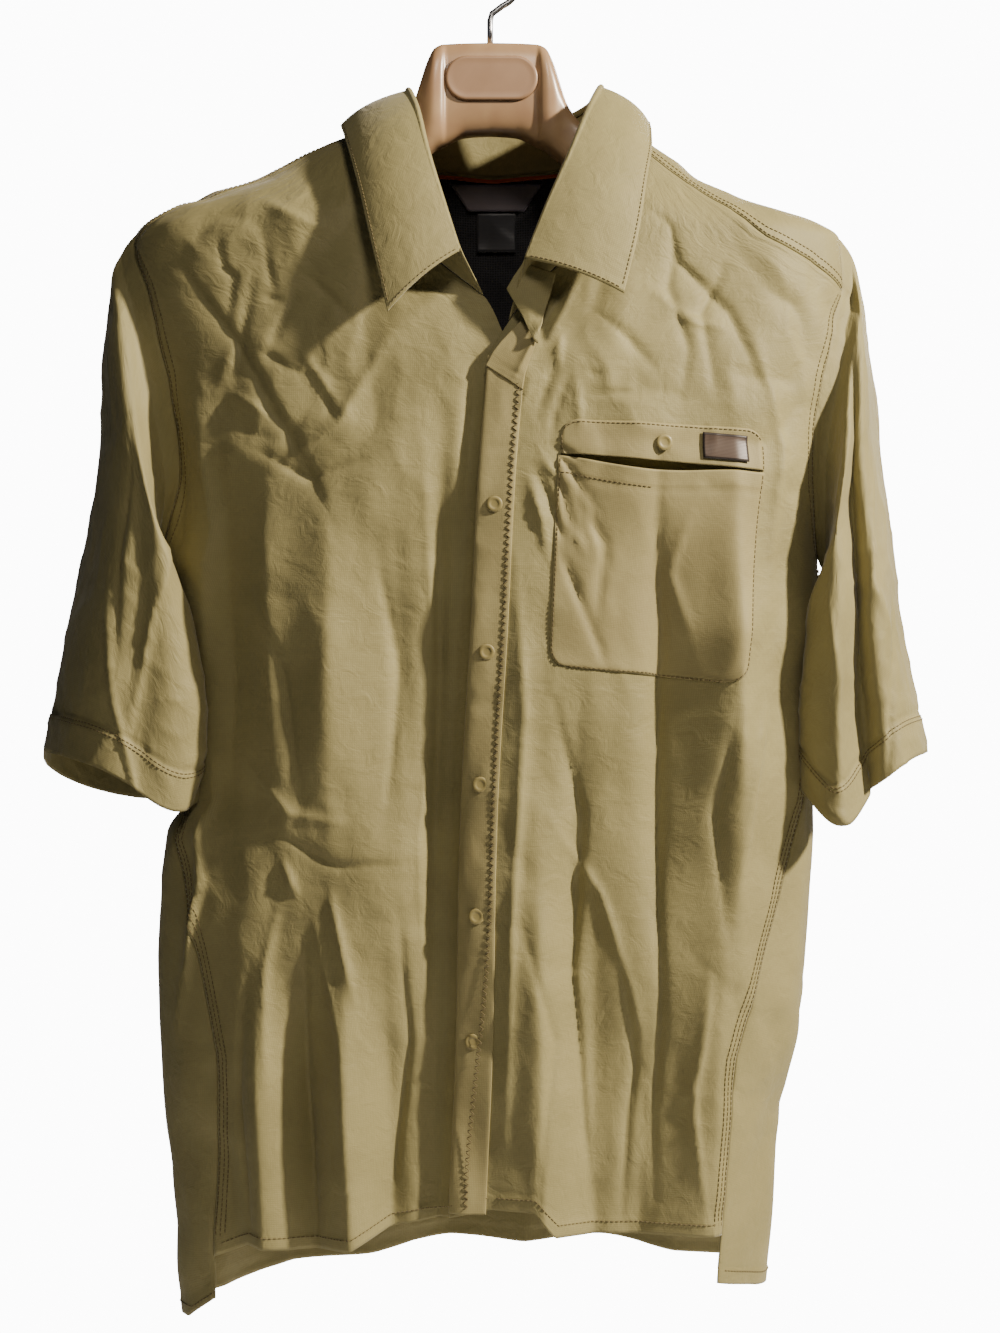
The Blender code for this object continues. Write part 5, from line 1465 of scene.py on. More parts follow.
@dataclass
class Collar:
    """The stand, and the fall that turns over it."""

    form: BodyForm
    cloth: float = 1.3
    columns: int = 250
    stand_rows: int = 16
    fall_rows: int = 40
    bow: float = 4.0
    roll: float = 2.4
    roll_rows: int = 7
    fall_centre: tuple[float, float] = (5.0, -10.0)

    def neck_line(self, panels: dict[str, Array]) -> tuple[Array, Array]:
        """The neck edge from the -X front round the back to the +X front.

        Args:
            panels: the body's panels.

        Returns:
            Places along the collar and the points there.
        """
        along, points = [], []
        right, left, yoke = panels["front_right"], panels["front_left"], panels["yoke"]
        right_rows = sorted((row.drop, row.along) for row in NECKLINE[:5])
        for point in right[::-1, -1]:
            if TOP_LEVEL[-1] <= -point[2] <= 240:
                along.append(float(np.interp(-point[2], *zip(*right_rows))))
                points.append(point)
        backs = [(row.x, row.along) for row in NECKLINE if row.face == "back"]
        for x, point in sorted(zip(panels["yoke_starts"], yoke[0]), key=lambda pair: pair[0]):
            if -91 <= x <= 96.4:
                along.append(float(np.interp(x, *zip(*backs))))
                points.append(point)
        left_rows = [(row.drop, row.along) for row in NECKLINE[10:]]
        for point in left[:, 0]:
            if TOP_LEVEL[1] <= -point[2] <= 258:
                along.append(float(np.interp(-point[2], *zip(*left_rows))))
                points.append(point)
        order = np.argsort(along, kind="stable")
        return np.array(along)[order], np.array(points)[order]

    def line(self, rows: Sequence[Line], along: Array) -> Array:
        """Points of a collar line."""
        x, y, drop = (smooth_lookup(rows, name, along) for name in ("x", "y", "drop"))
        return np.stack([x, y, -drop], axis=-1)

    def build(self, panels: dict[str, Array]) -> dict[str, Array]:
        """Builds the stand and the fall.

        Args:
            panels: the body's panels.

        Returns:
            Their outer sides by name.
        """
        known, neck_points = self.neck_line(panels)
        along = np.linspace(1, -1, self.columns)
        neck = np.stack([np.interp(along, known, neck_points[:, axis]) for axis in range(3)], axis=-1)
        soften = np.ones(9) / 9
        padded = np.concatenate([np.repeat(neck[:1], 4, axis=0), neck, np.repeat(neck[-1:], 4, axis=0)])
        neck = np.stack([np.convolve(padded[:, axis], soften, "valid") for axis in range(3)], axis=-1)
        roll, edge = self.line(ROLL_LINE, along), self.line(FALL_EDGE, along)
        up = unit(roll - neck)
        out = unit((roll - np.array([*self.fall_centre, 0])) * np.array([1, 1, 0]))
        top = roll - up * 2.0 - out * self.roll * 0.5
        stand = np.array([top + (neck + up * 0.6 - top) * t for t in np.linspace(0, 1, self.stand_rows + 1)])
        piece = dress(shell("collar_stand_cloth", stand, self.cloth * 0.6, Finish.CLOTH), "shirt_cloth", "collar_stand")
        rows = []
        for turn in np.linspace(-0.15, 1.0, self.roll_rows):
            angle = math.pi * (1 - turn)
            lift = np.array([0, 0, self.roll * math.sin(angle)])
            rows.append(roll + out * (self.roll * math.cos(angle) * 0.9 - self.roll * 0.4) + lift
                        - up * (1.6 if turn < 0 else 0))
        first = rows[-1]
        for t in clustered(self.fall_rows, 0.08, 6)[1:]:
            hump = 4 * t * (1 - t)
            rows.append(first + (edge - first) * t + out * self.bow * hump + np.array([0, 0, self.bow * hump / 2]))
        fall = np.array(rows)
        piece = dress(shell("collar_fall_cloth", fall, self.cloth * 0.6, Finish.CLOTH), "shirt_cloth", "collar_fall")
        return {"stand": stand, "fall": fall}


@dataclass
class FrontTrims:
    """The placket with its snaps, and the chest pocket with its strip, snap and label."""

    form: BodyForm
    panels: Panels
    placket_width: float = 23.0
    placket_thick: float = 1.2
    lap: float = 0.3
    top_seam_drop: float = 333.0
    snap_drops: tuple[float, ...] = (368, 459, 541, 622, 700)
    snap_inset: float = 11.0
    snap_radius: float = 5.0
    snap_sides: int = 40
    strip_top: float = 315.5
    strip_left: float = 44.0
    strip_right: float = 169.0
    bag_end_left: float = 468.0
    bag_end_right: float = 478.0
    bag_corner: float = 12.0
    pocket_snap: tuple[float, float] = (107, 330)
    label: Patch = Patch(131, 158, 323, 339)
    lapel_rows: tuple[StrapRow, ...] = (
        StrapRow(20.8, 221, 11, 40.9, 227.7, 8), StrapRow(14.5, 230.5, 11, 39.5, 233, 7.5),
        StrapRow(10.4, 237.5, 10, 38, 238, 7), StrapRow(15.0, 245.5, 9, 35.5, 246.5, 6.5),
        StrapRow(19.6, 252.8, 8, 33, 254, 6), StrapRow(27.4, 270, 6.5, 29.6, 270.6, 6),
    )
    band_rows: tuple[StrapRow, ...] = (
        StrapRow(19.0, 256.0, 3.4, 30.5, 262.0, 2.6), StrapRow(13.0, 262.0, 3.8, 28.5, 270.5, 2.6),
        StrapRow(6.7, 268.7, 4.2, 24.4, 280.9, 2.6), StrapRow(1.5, 275.5, 4.2, 22.0, 289.0, 2.4),
        StrapRow(-2.6, 283.0, 3.6, 20.3, 298.0, 1.7),
    )

    def place(self, x: Array, drop: Array, out: Array | float) -> Array:
        """Points over the wearer's left front."""
        return self.form.point(self.form.round_at(x, drop), drop, out)

    def placket(self) -> Array:
        """Builds the placket strip and returns its outer side."""
        share = clustered(8, 0.12, 5)
        hem = float(lookup(FRONT_HEM, "drop", -10.0))
        drops = np.concatenate([np.arange(277.0, hem - 8, 2.6), np.linspace(hem - 8, hem + 0.5, 9)])
        drop = np.repeat(drops[:, None], len(share), axis=1)
        wave = 0.7 * np.sin(drops / 41.0) * np.sin(drops / 173.0 + 1)
        x = placket_x(drop) + wave[:, None] - 0.3 + (self.placket_width + 0.3) * share[None, :]
        rolled = 0.75 * (np.abs(share - 0.5) * 2) ** 9
        out = self.lap + self.placket_thick - rolled[None, :]
        out = out - 0.9 * np.exp(-((drop - self.top_seam_drop) / 1.1) ** 2)
        out = out + 2.2 * (1 - ease((drop - 277) / 26)) * (1 - share[None, :])
        out = out + 0.45 * np.sin(drop / 13.0 + 2 * share[None, :]) * np.exp(-((share - 0.1) / 0.3) ** 2)[None, :]
        grid = self.place(x, drop, out)
        piece = dress(shell("placket_strip", grid, self.placket_thick, Finish.TRIM), "trim_cloth", "placket")
        return grid

    def snap(self, name: str, node: str, x: float, drop: float, out: float) -> None:
        """Builds a ring-shaped snap cap that lies on the cloth."""
        profile = ((0.0, 0.25), (1.7, 0.27), (2.3, 0.36), (2.8, 0.62), (3.4, 0.78), (4.1, 0.72), (4.7, 0.5),
                   (self.snap_radius, 0.25), (self.snap_radius, 0.0), (4.0, -0.2), (0.0, -0.2))
        xs, drops = np.array([x]), np.array([float(drop)])
        at = self.place(xs, drops, out)[0]
        normal = self.form.normal(self.form.round_at(xs, drops), drops)[0]
        side = unit(np.cross(normal, np.array([0, 0, 1.0])))
        up = np.cross(side, normal)
        angle = 2 * math.pi * np.arange(self.snap_sides) / self.snap_sides
        rings = [at + normal * h + (np.outer(np.cos(angle), side) + np.outer(np.sin(angle), up)) * max(r, 0.02)
                 for r, h in profile]
        points = np.array(rings)[::-1]
        faces = quads(len(profile), self.snap_sides, loop=True)
        dress(mesh_object(name, points.reshape(-1, 3), faces, Finish.SNAP), "snap", node)

    def bag(self) -> Array:
        """Builds the pocket bag and returns its outer side."""
        share = clustered(44, 0.035, 5)
        middle = clustered(36, 0.09, 8)
        top = pocket_slit(42 + 127 * share) + 1.5
        sag = 4.2 * np.sin(math.pi * np.clip((share - 0.02) / 0.86, 0, 1)) ** 1.5
        end = self.bag_end_left + (self.bag_end_right - self.bag_end_left) * share
        drop = (top + sag)[None, :] + np.outer(middle, end - top - sag)
        left = 42 - 5.5 * middle
        right = 169 - 15 * middle
        to_end = (1 - middle) * (self.bag_end_left - top.mean())
        lacking = np.clip(self.bag_corner - to_end, 0, self.bag_corner)
        inset = self.bag_corner - np.sqrt(self.bag_corner ** 2 - lacking ** 2)
        x = (left + inset)[:, None] + np.outer((right - left - 2 * inset), share)
        rim = np.minimum(share, 1 - share) * 127
        rolled = 0.55 * np.exp(-(rim / 1.2) ** 2)[None, :] + 0.55 * np.exp(-(to_end / 1.2) ** 2)[:, None]
        belly = 3.5 * np.outer((1 - middle) ** 3, np.sin(math.pi * share) ** 2)
        hem_line = -0.5 * np.exp(-((drop - top - sag - 12) / 1.2) ** 2)
        out = self.lap + 1.0 - rolled + belly + hem_line
        grid = self.place(x, drop, out)
        piece = dress(shell("pocket_bag", grid, 0.8, Finish.TRIM), "trim_cloth", "pocket")
        return grid

    def strip(self) -> Array:
        """Builds the strip above the pocket's slit and returns its outer side."""
        share = clustered(44, 0.035, 5)
        middle = clustered(6, 0.2, 5)
        corner = 11.0
        x = self.strip_left + (self.strip_right - self.strip_left) * share
        from_side = np.minimum(x - self.strip_left, self.strip_right - x)
        lacking = np.clip(corner - from_side, 0, corner)
        top = self.strip_top + 5 * share + corner - np.sqrt(corner ** 2 - lacking ** 2)
        low = pocket_slit(x)
        drop = top[None, :] + np.outer(middle, low - top)
        rim = np.minimum(share, 1 - share) * 125
        rolled = 0.5 * np.exp(-(rim / 1.2) ** 2)[None, :] + 0.5 * np.exp(-((drop - top[None, :]) / 1.2) ** 2)
        flare = 1.6 * ease((middle - 0.4) / 0.6)[:, None] * np.sin(math.pi * share)[None, :] ** 0.5
        pull = -0.6 * np.exp(-((x[None, :] - self.pocket_snap[0]) / 8) ** 2) * np.ones_like(drop)
        puckers = 0.4 * np.sin(x / 7.0)[None, :] * (1 - middle)[:, None]
        out = self.lap + 1.1 - rolled + flare + pull + puckers
        grid = self.place(np.repeat(x[None, :], len(middle), axis=0), drop, out)
        piece = dress(shell("pocket_strip_cloth", grid, 0.9, Finish.TRIM), "trim_cloth", "pocket_strip")
        return grid

    def pocket_label(self) -> None:
        """Builds the bare woven label on the strip's lower edge."""
        share, middle = np.linspace(0, 1, 19), np.linspace(0, 1, 13)
        x = self.label.left + (self.label.right - self.label.left) * share
        drop = self.label.top + (self.label.bottom - self.label.top) * middle[:, None] + 2.0 * share[None, :]
        out = self.lap + 2.4 + 1.0 * ease((middle - 0.2) / 0.8)[:, None] * np.ones_like(drop)
        grid = self.place(np.repeat(x[None, :], len(middle), axis=0), drop, out)
        piece = shell("pocket_label_woven", grid, 0.6, Finish.POCKET_LABEL, cloth_mm=rimmed_places(grid))
        dress(piece, "pocket_label", "pocket_label")

    def strap(self, name: str, rows: tuple[StrapRow, ...], bulge: float, finish: Finish) -> bpy.types.Object:
        """Builds a narrow strip of cloth from its rows, with a soft bulge between its ends."""
        table = np.array(rows)
        place = np.linspace(0, 1, 44)
        left, right = (
            np.stack([np.interp(place, np.linspace(0, 1, len(rows)), table[:, column]) for column in columns])
            for columns in ((0, 1, 2), (3, 4, 5))
        )
        across = np.linspace(0, 1, 26)
        x, drop, out = left[..., None] * (1 - across) + right[..., None] * across
        out = out + bulge * np.sin(math.pi * across) * np.sin(math.pi * place)[:, None]
        return shell(name, self.place(x, drop, out), 0.8, finish)

    def lapel(self) -> None:
        """Builds the top of the front edge where it turns out below the collar leaf."""
        piece = dress(self.strap("front_edge_turned", self.lapel_rows, 2.2, Finish.CLOTH), "shirt_cloth")
        piece = dress(self.strap("placket_top", self.band_rows, 0.8, Finish.TRIM), "trim_cloth")

    def build(self) -> dict[str, Array]:
        """Builds everything on the fronts and returns the strips' outer sides by name."""
        self.lapel()
        grids = {"placket": self.placket(), "bag": self.bag(), "strip": self.strip()}
        for number, drop in enumerate(self.snap_drops, 1):
            x = float(placket_x(drop)) + self.snap_inset
            self.snap(f"snap_cap_{number}", f"snap_{number}", x, drop, self.lap + self.placket_thick + 0.2)
        self.snap("snap_cap_pocket", "snap_pocket", *self.pocket_snap, self.lap + 2.2)
        self.pocket_label()
        return grids


def rimmed_places(grid: Array) -> Array:
    """Places in a label's cloth, with the distance from its edge as the third number."""
    places = cloth_places(grid)
    u, v = places[..., 0], places[..., 1]
    places[..., 2] = np.minimum(np.minimum(u, u.max() - u), np.minimum(v, v.max() - v))
    return places


@dataclass
class NeckInside:
    """What shows inside the back neck: mesh lining, piping and two bare labels."""

    form: BodyForm
    depth: float = 1.4
    lining_end: float = 295.0
    lining_left: float = -84.0
    lining_right: float = 89.0
    label: Patch = Patch(-27, 35, 143, 160)
    label_taper: float = 12.0
    size_label: Patch = Patch(-9, 17, 161, 187)

    def neck_drop(self, x: Array) -> Array:
        """The neckline's drop at the back."""
        backs = sorted((row.x, row.drop) for row in NECKLINE if row.face == "back")
        return np.interp(x, [b[0] for b in backs], [b[1] for b in backs])

    def inside(self, x: Array, drop: Array, out: Array | float) -> Array:
        """Points on the inner side of the back."""
        return self.form.point(self.form.round_at(x, drop, "back"), drop, out)

    def lining(self) -> None:
        """Builds the black mesh behind the neck opening."""
        x = np.linspace(self.lining_right, self.lining_left, 70)
        share = np.linspace(0, 1, 64)
        top = self.neck_drop(x) + 1.5
        drop = top[None, :] + np.outer(share, self.lining_end - top)
        grid = self.inside(np.repeat(x[None, :], len(share), axis=0), drop, -self.depth)
        piece = dress(shell("yoke_lining_mesh", grid, 0.5, Finish.MESH), "mesh_lining", "yoke_lining")

    def piping(self) -> None:
        """Builds the orange piping along the back neck seam."""
        x = np.linspace(74, -70, 90)
        line = self.inside(x, self.neck_drop(x) + 1.2, -self.depth - 1.2)
        ring = []
        along = unit(np.gradient(line, axis=0))
        out = unit(np.cross(along, np.array([0, 0, 1.0])))
        up = np.cross(out, along)
        for n in range(10):
            angle = 2 * math.pi * n / 10
            ring.append(line + out * math.cos(angle) * 0.7 + up * math.sin(angle) * 1.3)
        points = np.array(ring).transpose(1, 0, 2)[:, ::-1]
        faces = quads(len(x), 10, loop=True)
        places = np.repeat(cloth_places(np.stack([line, line + up]))[0][:, None], 10, axis=1)
        piece = mesh_object("neck_piping", points.reshape(-1, 3), faces, Finish.PIPING, places.reshape(-1, 3))
        dress(piece, "neck_tape", "neck_tape")

    def patch(self, name: str, node: str, patch: Patch, taper: float, finish: Finish, lift: float) -> None:
        """Builds one bare label that hangs on the lining.

        Args:
            name: the piece's name.
            node: the node that it stands for.
            patch: its size and place.
            taper: how far each side comes in towards its end.
            finish: its finish.
            lift: how far its free end stands off.
        """
        share, middle = np.linspace(0, 1, 25), np.linspace(0, 1, 13)
        drop = patch.top + (patch.bottom - patch.top) * middle[:, None] * np.ones(len(share))
        left, right = patch.left + taper * middle, patch.right - taper * middle
        x = left[:, None] + np.outer(right - left, share)
        out = -self.depth - 1.3 - lift * middle[:, None] ** 2
        grid = self.inside(x, drop, out)
        piece = shell(name, grid, 0.5, finish, cloth_mm=rimmed_places(grid))
        dress(piece, "label_satin", node)

    def build(self) -> None:
        """Builds the lining, the piping and the labels."""
        self.lining()
        self.piping()
        self.patch("neck_label_satin", "neck_label", self.label, self.label_taper, Finish.NECK_LABEL, 1.5)
        self.patch("size_label_satin", "size_label", self.size_label, 0.0, Finish.SIZE_LABEL, 2.0)


@dataclass
class Hanger:
    """The moulded hanger: a broad neck with a flat face between two lobes, arms, badge and hook."""

    corners: int = 64
    arm_height: float = 24.0
    gap: float = 0.9
    lobe: float = 4.0
    badge_centre: tuple[float, float] = (1.0, 87.0)
    badge_size: tuple[float, float] = (60.0, 29.0)
    badge_thick: float = 2.0
    hook_wire: float = 2.0
    hook_radius: float = 20.0
    hook_opening: float = 205.0

    def section(self, bar: Bar, power: float) -> Array:
        """Points round one section, starting behind, with lobes beside the neck's flat face."""
        angle = 2 * math.pi * (np.arange(self.corners) + 0.5) / self.corners
        y = bar.deep * signed_power(np.cos(angle), 2 / power)
        z = (bar.bottom - bar.top) / 2 * signed_power(np.sin(angle), 2 / power) - (bar.top + bar.bottom) / 2
        lobes = np.exp(-((abs(bar.x - 1) - 38) / 8.5) ** 2) * ease((abs(bar.x - 1) - 29) / 3.5)
        y = np.where(y < 0, y - self.lobe * lobes * np.clip(-y / bar.deep, 0, 1) ** 2, y)
        return np.stack([np.full(self.corners, float(bar.x)), y, z], axis=-1)

    def arm(self, x: float, line: Array) -> Bar:
        """The arm's section under a column of the yoke's inner side."""
        share = (abs(x) - 100) / 110
        deep = 15 + 7 * share
        top = -float(line[:, 2].max()) + self.gap
        bar = Bar(x, top, top + self.arm_height, deep)
        section = self.section(bar, 2.3)
        order = np.argsort(line[:, 1])
        cloth = np.interp(section[:, 1], line[order, 1], line[order, 2])
        top += max(float(np.max(section[:, 2] - cloth)) + self.gap, 0.0)
        return Bar(x, top, top + self.arm_height, deep)

    def body(self, yoke: Array) -> None:
        """Builds the neck and both arms as one piece."""
        inner = yoke - grid_normals(yoke) * 0.8
        bars = []
        neck = [bar for bar in HANGER_NECK]
        for side in (-1, 1):
            reach = np.concatenate([np.linspace(0.5, 60, 60), np.linspace(62, 90, 15)])
            for x in reach:
                values = [float(smooth_lookup(neck, name, x)) for name in ("top", "bottom", "deep")]
                bars.append((Bar(side * x, *values), 3.6))
            columns = [n for n in range(yoke.shape[1]) if 100 < side * inner[:, n, 0].mean() < 208]
            arms = sorted((self.arm(float(inner[:, n, 0].mean()), inner[:, n]) for n in columns),
                          key=lambda bar: abs(bar.x))
            tops = np.convolve(np.pad([bar.top for bar in arms], 2, mode="edge"), np.ones(5) / 5, "valid")
            tops = np.maximum(tops, [bar.top for bar in arms])
            arms = [Bar(bar.x, top, top + self.arm_height, bar.deep) for bar, top in zip(arms, tops)]
            for bar in arms:
                bars.append((bar, 3.6 + (2.3 - 3.6) * float(ease((abs(bar.x) - 92) / 20))))
            end = arms[-1]
            slope = (arms[-1].top - arms[-4].top) / abs(arms[-1].x - arms[-4].x)
            for t in np.linspace(0.15, 1, 8):
                shrink = math.sqrt(max(1 - t * t, 0.02))
                middle = (end.top + end.bottom) / 2 + slope * 7 * t
                half = self.arm_height / 2 * shrink
                bars.append((Bar(end.x + side * 7 * t, middle - half, middle + half, end.deep * shrink), 2.3))
        bars.sort(key=lambda pair: pair[0].x)
        points = np.array([self.section(bar, power) for bar, power in bars])
        faces = quads(len(bars), self.corners, loop=True)[:, ::-1]
        centres = points.mean(axis=1)
        count = len(bars) * self.corners
        caps = []
        around = np.arange(self.corners)
        after = np.roll(around, -1)
        caps.append(np.stack([np.full(self.corners, count), after, around], axis=-1))
        last = (len(bars) - 1) * self.corners
        caps.append(np.stack([np.full(self.corners, count + 1), last + around, last + after], axis=-1))
        every = np.concatenate([points.reshape(-1, 3), centres[[0, -1]]])
        body = mesh_with_fans("hanger_body", every, faces, caps, Finish.HANGER)
        dress(body, "hanger_plastic", "hanger")

    def badge(self) -> None:
        """Builds the bare stadium badge with rounded edges."""
        corners = 72
        angle = 2 * math.pi * (np.arange(corners) + 0.5) / corners
        front = -(HANGER_NECK[0].deep + 0.2)
        rings = []
        for inset, rise in ((0.0, 0.0), (0.0, 0.9), (0.25, 1.5), (0.9, 1.9), (2.0, self.badge_thick),
                            (2.6, self.badge_thick - 0.12), (6.0, self.badge_thick - 0.12),
                            (13.9, self.badge_thick - 0.12)):
            width, height = (size - 2 * inset for size in self.badge_size)
            radius = max(height, 0.1) / 2
            straight = (width - height) / 2
            x = self.badge_centre[0] + radius * np.cos(angle) + np.sign(np.cos(angle)) * straight
            z = -self.badge_centre[1] + radius * np.sin(angle)
            rings.append(np.stack([x, np.full(corners, front - rise), z], axis=-1))
        points = np.array(rings)
        faces = quads(len(rings), corners, loop=True)[:, ::-1]
        around = np.arange(corners)
        middle = (len(rings) - 1) * corners
        every = np.concatenate([points.reshape(-1, 3), points[[-1, 0]].mean(axis=1)])
        after = np.roll(around, -1)
        caps = [np.stack([middle + around, middle + after, np.full(corners, len(every) - 2)], axis=-1),
                np.stack([after, around, np.full(corners, len(every) - 1)], axis=-1)]
        made = mesh_with_fans("hanger_badge_plate", every, faces, caps, Finish.BADGE)
        dress(made, "badge_plastic", "hanger_badge")

    def hook(self) -> None:
        """Builds the wire hook with a rounded end; its inside top is the origin."""
        centre = self.hook_wire - self.hook_radius
        low = centre - self.hook_radius
        path = [(0.0, -HANGER_NECK[0].top - 0.4), (0.0, low - 14), (0.0, low - 8), (1.2, low - 3.5)]
        for degrees in np.linspace(-66, self.hook_opening, 90):
            turn = math.radians(float(degrees))
            path.append((self.hook_radius * math.cos(turn), centre + self.hook_radius * math.sin(turn)))
        line = np.array([[x, 0.0, z] for x, z in path])
        way = unit(np.gradient(line, axis=0))
        deep = np.array([0.0, 1.0, 0.0])
        side = unit(np.cross(deep, way))
        sides = 20
        angle = 2 * math.pi * np.arange(sides) / sides
        thick = np.full(len(line), self.hook_wire)
        thick[-4:] = self.hook_wire * np.array([1.0, 0.93, 0.7, 0.25])
        spoke = np.cos(angle)[None, :, None] * side[:, None] + np.sin(angle)[None, :, None] * deep
        points = line[:, None] + spoke * thick[:, None, None]
        faces = quads(len(line), sides, loop=True)[:, ::-1]
        around = np.arange(sides)
        every = np.concatenate([points.reshape(-1, 3), line[[0, -1]]])
        last = (len(line) - 1) * sides
        caps = [np.stack([np.full(sides, len(every) - 2), np.roll(around, -1), around], axis=-1),
                np.stack([last + around, last + np.roll(around, -1), np.full(sides, len(every) - 1)], axis=-1)]
        made = mesh_with_fans("hanger_hook_wire", every, faces, caps, Finish.WIRE)
        dress(made, "hook_wire", "hanger_hook")

    def build(self, yoke: Array) -> None:
        """Builds the body under the yoke, the badge and the hook."""
        self.body(yoke)
        self.badge()
        self.hook()


def mesh_with_fans(name: str, points: Array, faces: Array, fans: Sequence[Array],
                   finish: Finish) -> bpy.types.Object:
    """A closed smooth object from four-cornered faces and three-cornered fans.

    Args:
        name: the piece's name.
        points: its points in millimetres.
        faces: its four-cornered faces.
        fans: its three-cornered faces.
        finish: its finish.

    Returns:
        The new object, with its faces turned outwards.
    """
    every = [tuple(int(n) for n in face) for face in faces]
    every += [tuple(int(n) for n in face) for fan in fans for face in fan]
    mesh = bpy.data.meshes.new(name)
    mesh.from_pydata([tuple(float(v) * MM for v in point) for point in points], [], every)
    mesh.shade_smooth()
    mesh.materials.append(finish.material)
    made = bpy.data.objects.new(name, mesh)
    bpy.context.scene.collection.objects.link(made)
    return made


@dataclass
class Seams:
    """All visible stitching."""

    form: BodyForm
    panels: dict[str, Array]
    sleeves: dict[str, Array]
    collar: dict[str, Array]
    trims: dict[str, Array]
    parts: Panels

    def along(self, sewing: Sewing, around: Array, drop: Array, out: float) -> None:
        """Adds a row that follows distances round and drops on the body."""
        sewing.row(self.form.point(around, drop, out), self.form.normal(around, drop))

    def body(self) -> None:
        """Side seams, hems, yoke seams and armholes."""
        sewing = Sewing("stitching_body")
        for side in (-1, 1):
            drop = np.linspace(ARMPIT_LEVEL + 3, 826 if side < 0 else 816, 170)
            x = outer_x(side, drop)
            for inset in (1.8, 4.8, 7.8):
                around = self.form.round_at(x, drop) - side * inset
                self.along(sewing, around, drop, 0.4)
            drop = np.linspace(CORNER_LEVEL[side] + 3, ARMPIT_LEVEL - 4, 80)
            around = self.form.round_at(outer_x(side, drop), drop)
            for inset in (2.0, 6.5):
                self.along(sewing, around - side * inset, drop, 0.35)
            yoke = self.panels["yoke"]
            starts = self.panels["yoke_starts"]
            wing = (starts > 100) if side > 0 else (starts < -97)
            columns = np.nonzero(wing)[0]
            grid = yoke[:, columns]
            normals = grid_normals(grid)
            for distance in (2.0, 7.0):
                sewing.row(offset_path(grid, distance), normals[1])
        for span in (np.linspace(-170, 0, 80), np.linspace(4, 136, 70)):
            drop = lookup(FRONT_HEM, "drop", span) - 7.5
            self.along(sewing, self.form.round_at(span, drop), drop, 0.55)
        plus, minus = (float(self.parts.back_edge(side, np.array(800.0))) for side in (1, -1))
        span = np.linspace(plus + 3, 2 * self.form.back + minus - 3, 200)
        drop = lookup(BACK_HEM, "drop", self.form.back - span) - 7.5
        self.along(sewing, self.form.wrapped(span), drop, 0.55)
        span = np.linspace(self.form.side + 28, 2 * self.form.back - self.form.side - 28, 160)
        self.along(sewing, self.form.wrapped(span), np.full(160, YOKE_LEVEL - 2.5), 0.2)
        dress(sewing.build(), "shirt_cloth")

    def sleeve_hems(self) -> None:
        """Double rows above both sleeve hems."""
        sewing = Sewing("stitching_sleeves")
        for grid in self.sleeves.values():
            closed = np.concatenate([grid, grid[:, :1]], axis=1)
            normals = grid_normals(closed)
            for distance in (22.0, 24.5):
                path = offset_path(closed, distance, from_end=True)
                sewing.row(path + normals[-12] * 0.1, normals[-12])
        dress(sewing.build(), "shirt_cloth")

    def collar_edges(self) -> None:
        """The row round the collar's edge."""
        sewing = Sewing("stitching_collar")
        fall = self.collar["fall"]
        normals = grid_normals(fall)
        sewing.row(offset_path(fall, 2.2, from_end=True)[2:-2], normals[-3, 2:-2])
        sideways = turned(fall)
        for from_end in (False, True):
            path = offset_path(sideways, 2.2, from_end)
            sewing.row(path[8:-3], normals[8:-3, -2 if from_end else 1])
        dress(sewing.build(), "shirt_cloth")

    def trims_rows(self) -> None:
        """The placket's zigzag, the pocket's outline, and a short row across the pocket bag near its top."""
        sewing = Sewing("stitching_trims")
        placket = self.trims["placket"]
        normals = grid_normals(placket)
        path = offset_path(turned(placket), 3.0, from_end=True)
        drop = -path[:, 2]
        drift = ease((drop - 600) / 190)[:, None] * 10.0
        path = path - np.array([1.0, 0, 0]) * drift
        sewing.zigzag(path[2:-2] + normals[2:-2, -6] * 0.25, normals[2:-2, -6], 3.6, 4.4)
        for name in ("bag", "strip"):
            grid = self.trims[name]
            normals = grid_normals(grid)
            end = name == "bag"
            sewing.row(offset_path(grid, 1.6, end)[2:-2], normals[-3 if end else 2, 2:-2])
            for from_end in (False, True):
                path = offset_path(turned(grid), 1.6, from_end)
                sewing.row(path[1:-1], normals[1:-1, -2 if from_end else 1])
        bag = self.trims["bag"]
        sewing.row(offset_path(bag, 11.0)[2:26], grid_normals(bag)[6, 2:26])
        dress(sewing.build(), "trim_cloth")

    def build(self) -> None:
        """Sews everything."""
        self.body()
        self.sleeve_hems()
        self.collar_edges()
        self.trims_rows()


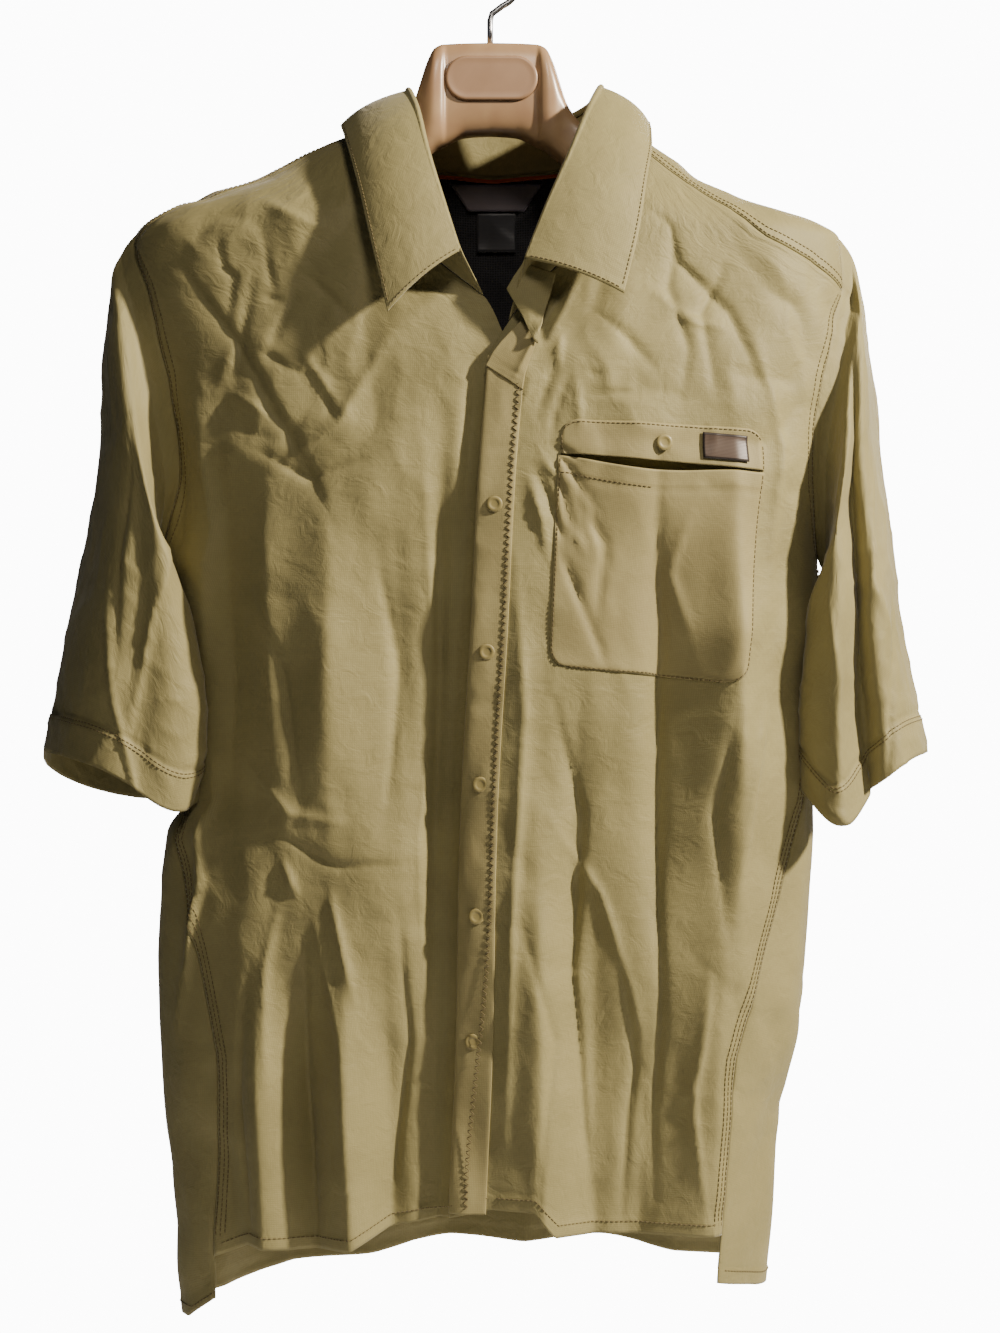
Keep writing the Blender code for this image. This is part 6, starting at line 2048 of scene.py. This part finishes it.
@dataclass
class Studio:
    """Camera at the photograph's angle, pale floor, and soft light from above the front."""

    camera_place: tuple[float, float, float] = (0.0065, -1.4, -0.468)
    focal_length_px: float = 2142.0
    image_height_px: float = 1333.0
    sensor: float = 36.0
    floor_drop: float = 1.2

    def area_light(self, name: str, size: float, power: float, place: tuple[float, float, float],
                   target: tuple[float, float, float], colour: str) -> None:
        """Adds a soft square light that shines on a point."""
        light = bpy.data.lights.new(name, "AREA")
        light.size = size
        light.energy = power
        light.color = linear(colour)[:3]
        lamp = bpy.data.objects.new(name, light)
        bpy.context.scene.collection.objects.link(lamp)
        way = np.array(target) - np.array(place)
        lamp.location = place
        lamp.rotation_euler = (math.atan2(math.hypot(way[0], way[1]), -way[2]), 0,
                               math.atan2(way[1], way[0]) - math.pi / 2)

    def build(self) -> None:
        """Builds camera, floor and lights."""
        eye = bpy.data.cameras.new("camera")
        eye.sensor_width = self.sensor
        eye.lens = self.sensor * self.focal_length_px / self.image_height_px
        camera = bpy.data.objects.new("camera", eye)
        camera.location = self.camera_place
        camera.rotation_euler = (math.pi / 2, 0, 0)
        bpy.context.scene.collection.objects.link(camera)
        bpy.context.scene.camera = camera
        mesh = bpy.data.meshes.new("floor")
        wide = 0.9
        mesh.from_pydata([(-wide, -wide, 0), (wide, -wide, 0), (wide, wide, 0), (-wide, wide, 0)], [], [(0, 1, 2, 3)])
        floor = bpy.data.objects.new("floor", mesh)
        floor.location = (0, 0, -self.floor_drop)
        made, tree, shader = blank_material("floor_paper_matt")
        set_shader(shader, Roughness=0.9)
        place = add(tree, "ShaderNodeTexCoord").outputs["Object"]
        speck = add(tree, "ShaderNodeTexNoise", {"Scale": 30.0, "Detail": 4.0}, {"Vector": place})
        colour = add(tree, "ShaderNodeMix",
                     {"data_type": "RGBA", 6: linear("#ececea"), 7: linear("#f4f4f2")},
                     {0: speck.outputs["Fac"]})
        tree.links.new(colour.outputs[2], shader.inputs["Base Color"])
        mesh.materials.append(made)
        bpy.context.scene.collection.objects.link(floor)
        self.area_light("key", 0.12, 132.0, (1.72, -0.82, 0.72), (0.0, 0.0, -0.42), "#fff2e0")
        self.area_light("above", 0.2, 3.0, (0.12, -0.75, 0.35), (0.0, 0.0, -0.18), "#fff4e6")
        self.area_light("fill", 1.6, 1.2, (-0.9, -1.9, -0.2), (0.0, 0.0, -0.45), "#f2f5ff")
        self.area_light("behind", 0.9, 24.0, (1.1, 1.9, 0.5), (0.0, 0.0, -0.4), "#ffffff")
        world = bpy.data.worlds.new("studio")
        world.use_nodes = True
        sky = world.node_tree.nodes["Background"]
        sky.inputs["Color"].default_value = linear("#ffffff")
        path = add(world.node_tree, "ShaderNodeLightPath")
        strength = add(world.node_tree, "ShaderNodeMapRange", {"To Min": 0.028, "To Max": 12.0},
                       {"Value": path.outputs["Is Camera Ray"]})
        world.node_tree.links.new(strength.outputs["Result"], sky.inputs["Strength"])
        bpy.context.scene.world = world


def main() -> None:
    """Builds the shirt, its hanger and the studio."""
    logging.basicConfig(level=logging.INFO, format="%(name)s: %(message)s")
    form = BodyForm()
    parts = Panels(form)
    hanger = Hanger()
    panels = parts.build()
    hanger.build(panels["yoke"])
    sleeves = Sleeves(form).build(panels)
    collar = Collar(form).build(panels)
    trims = FrontTrims(form, parts).build()
    NeckInside(form).build()
    Seams(form, panels, sleeves, collar, trims, parts).build()
    Studio().build()


if __name__ == "__main__":
    main()
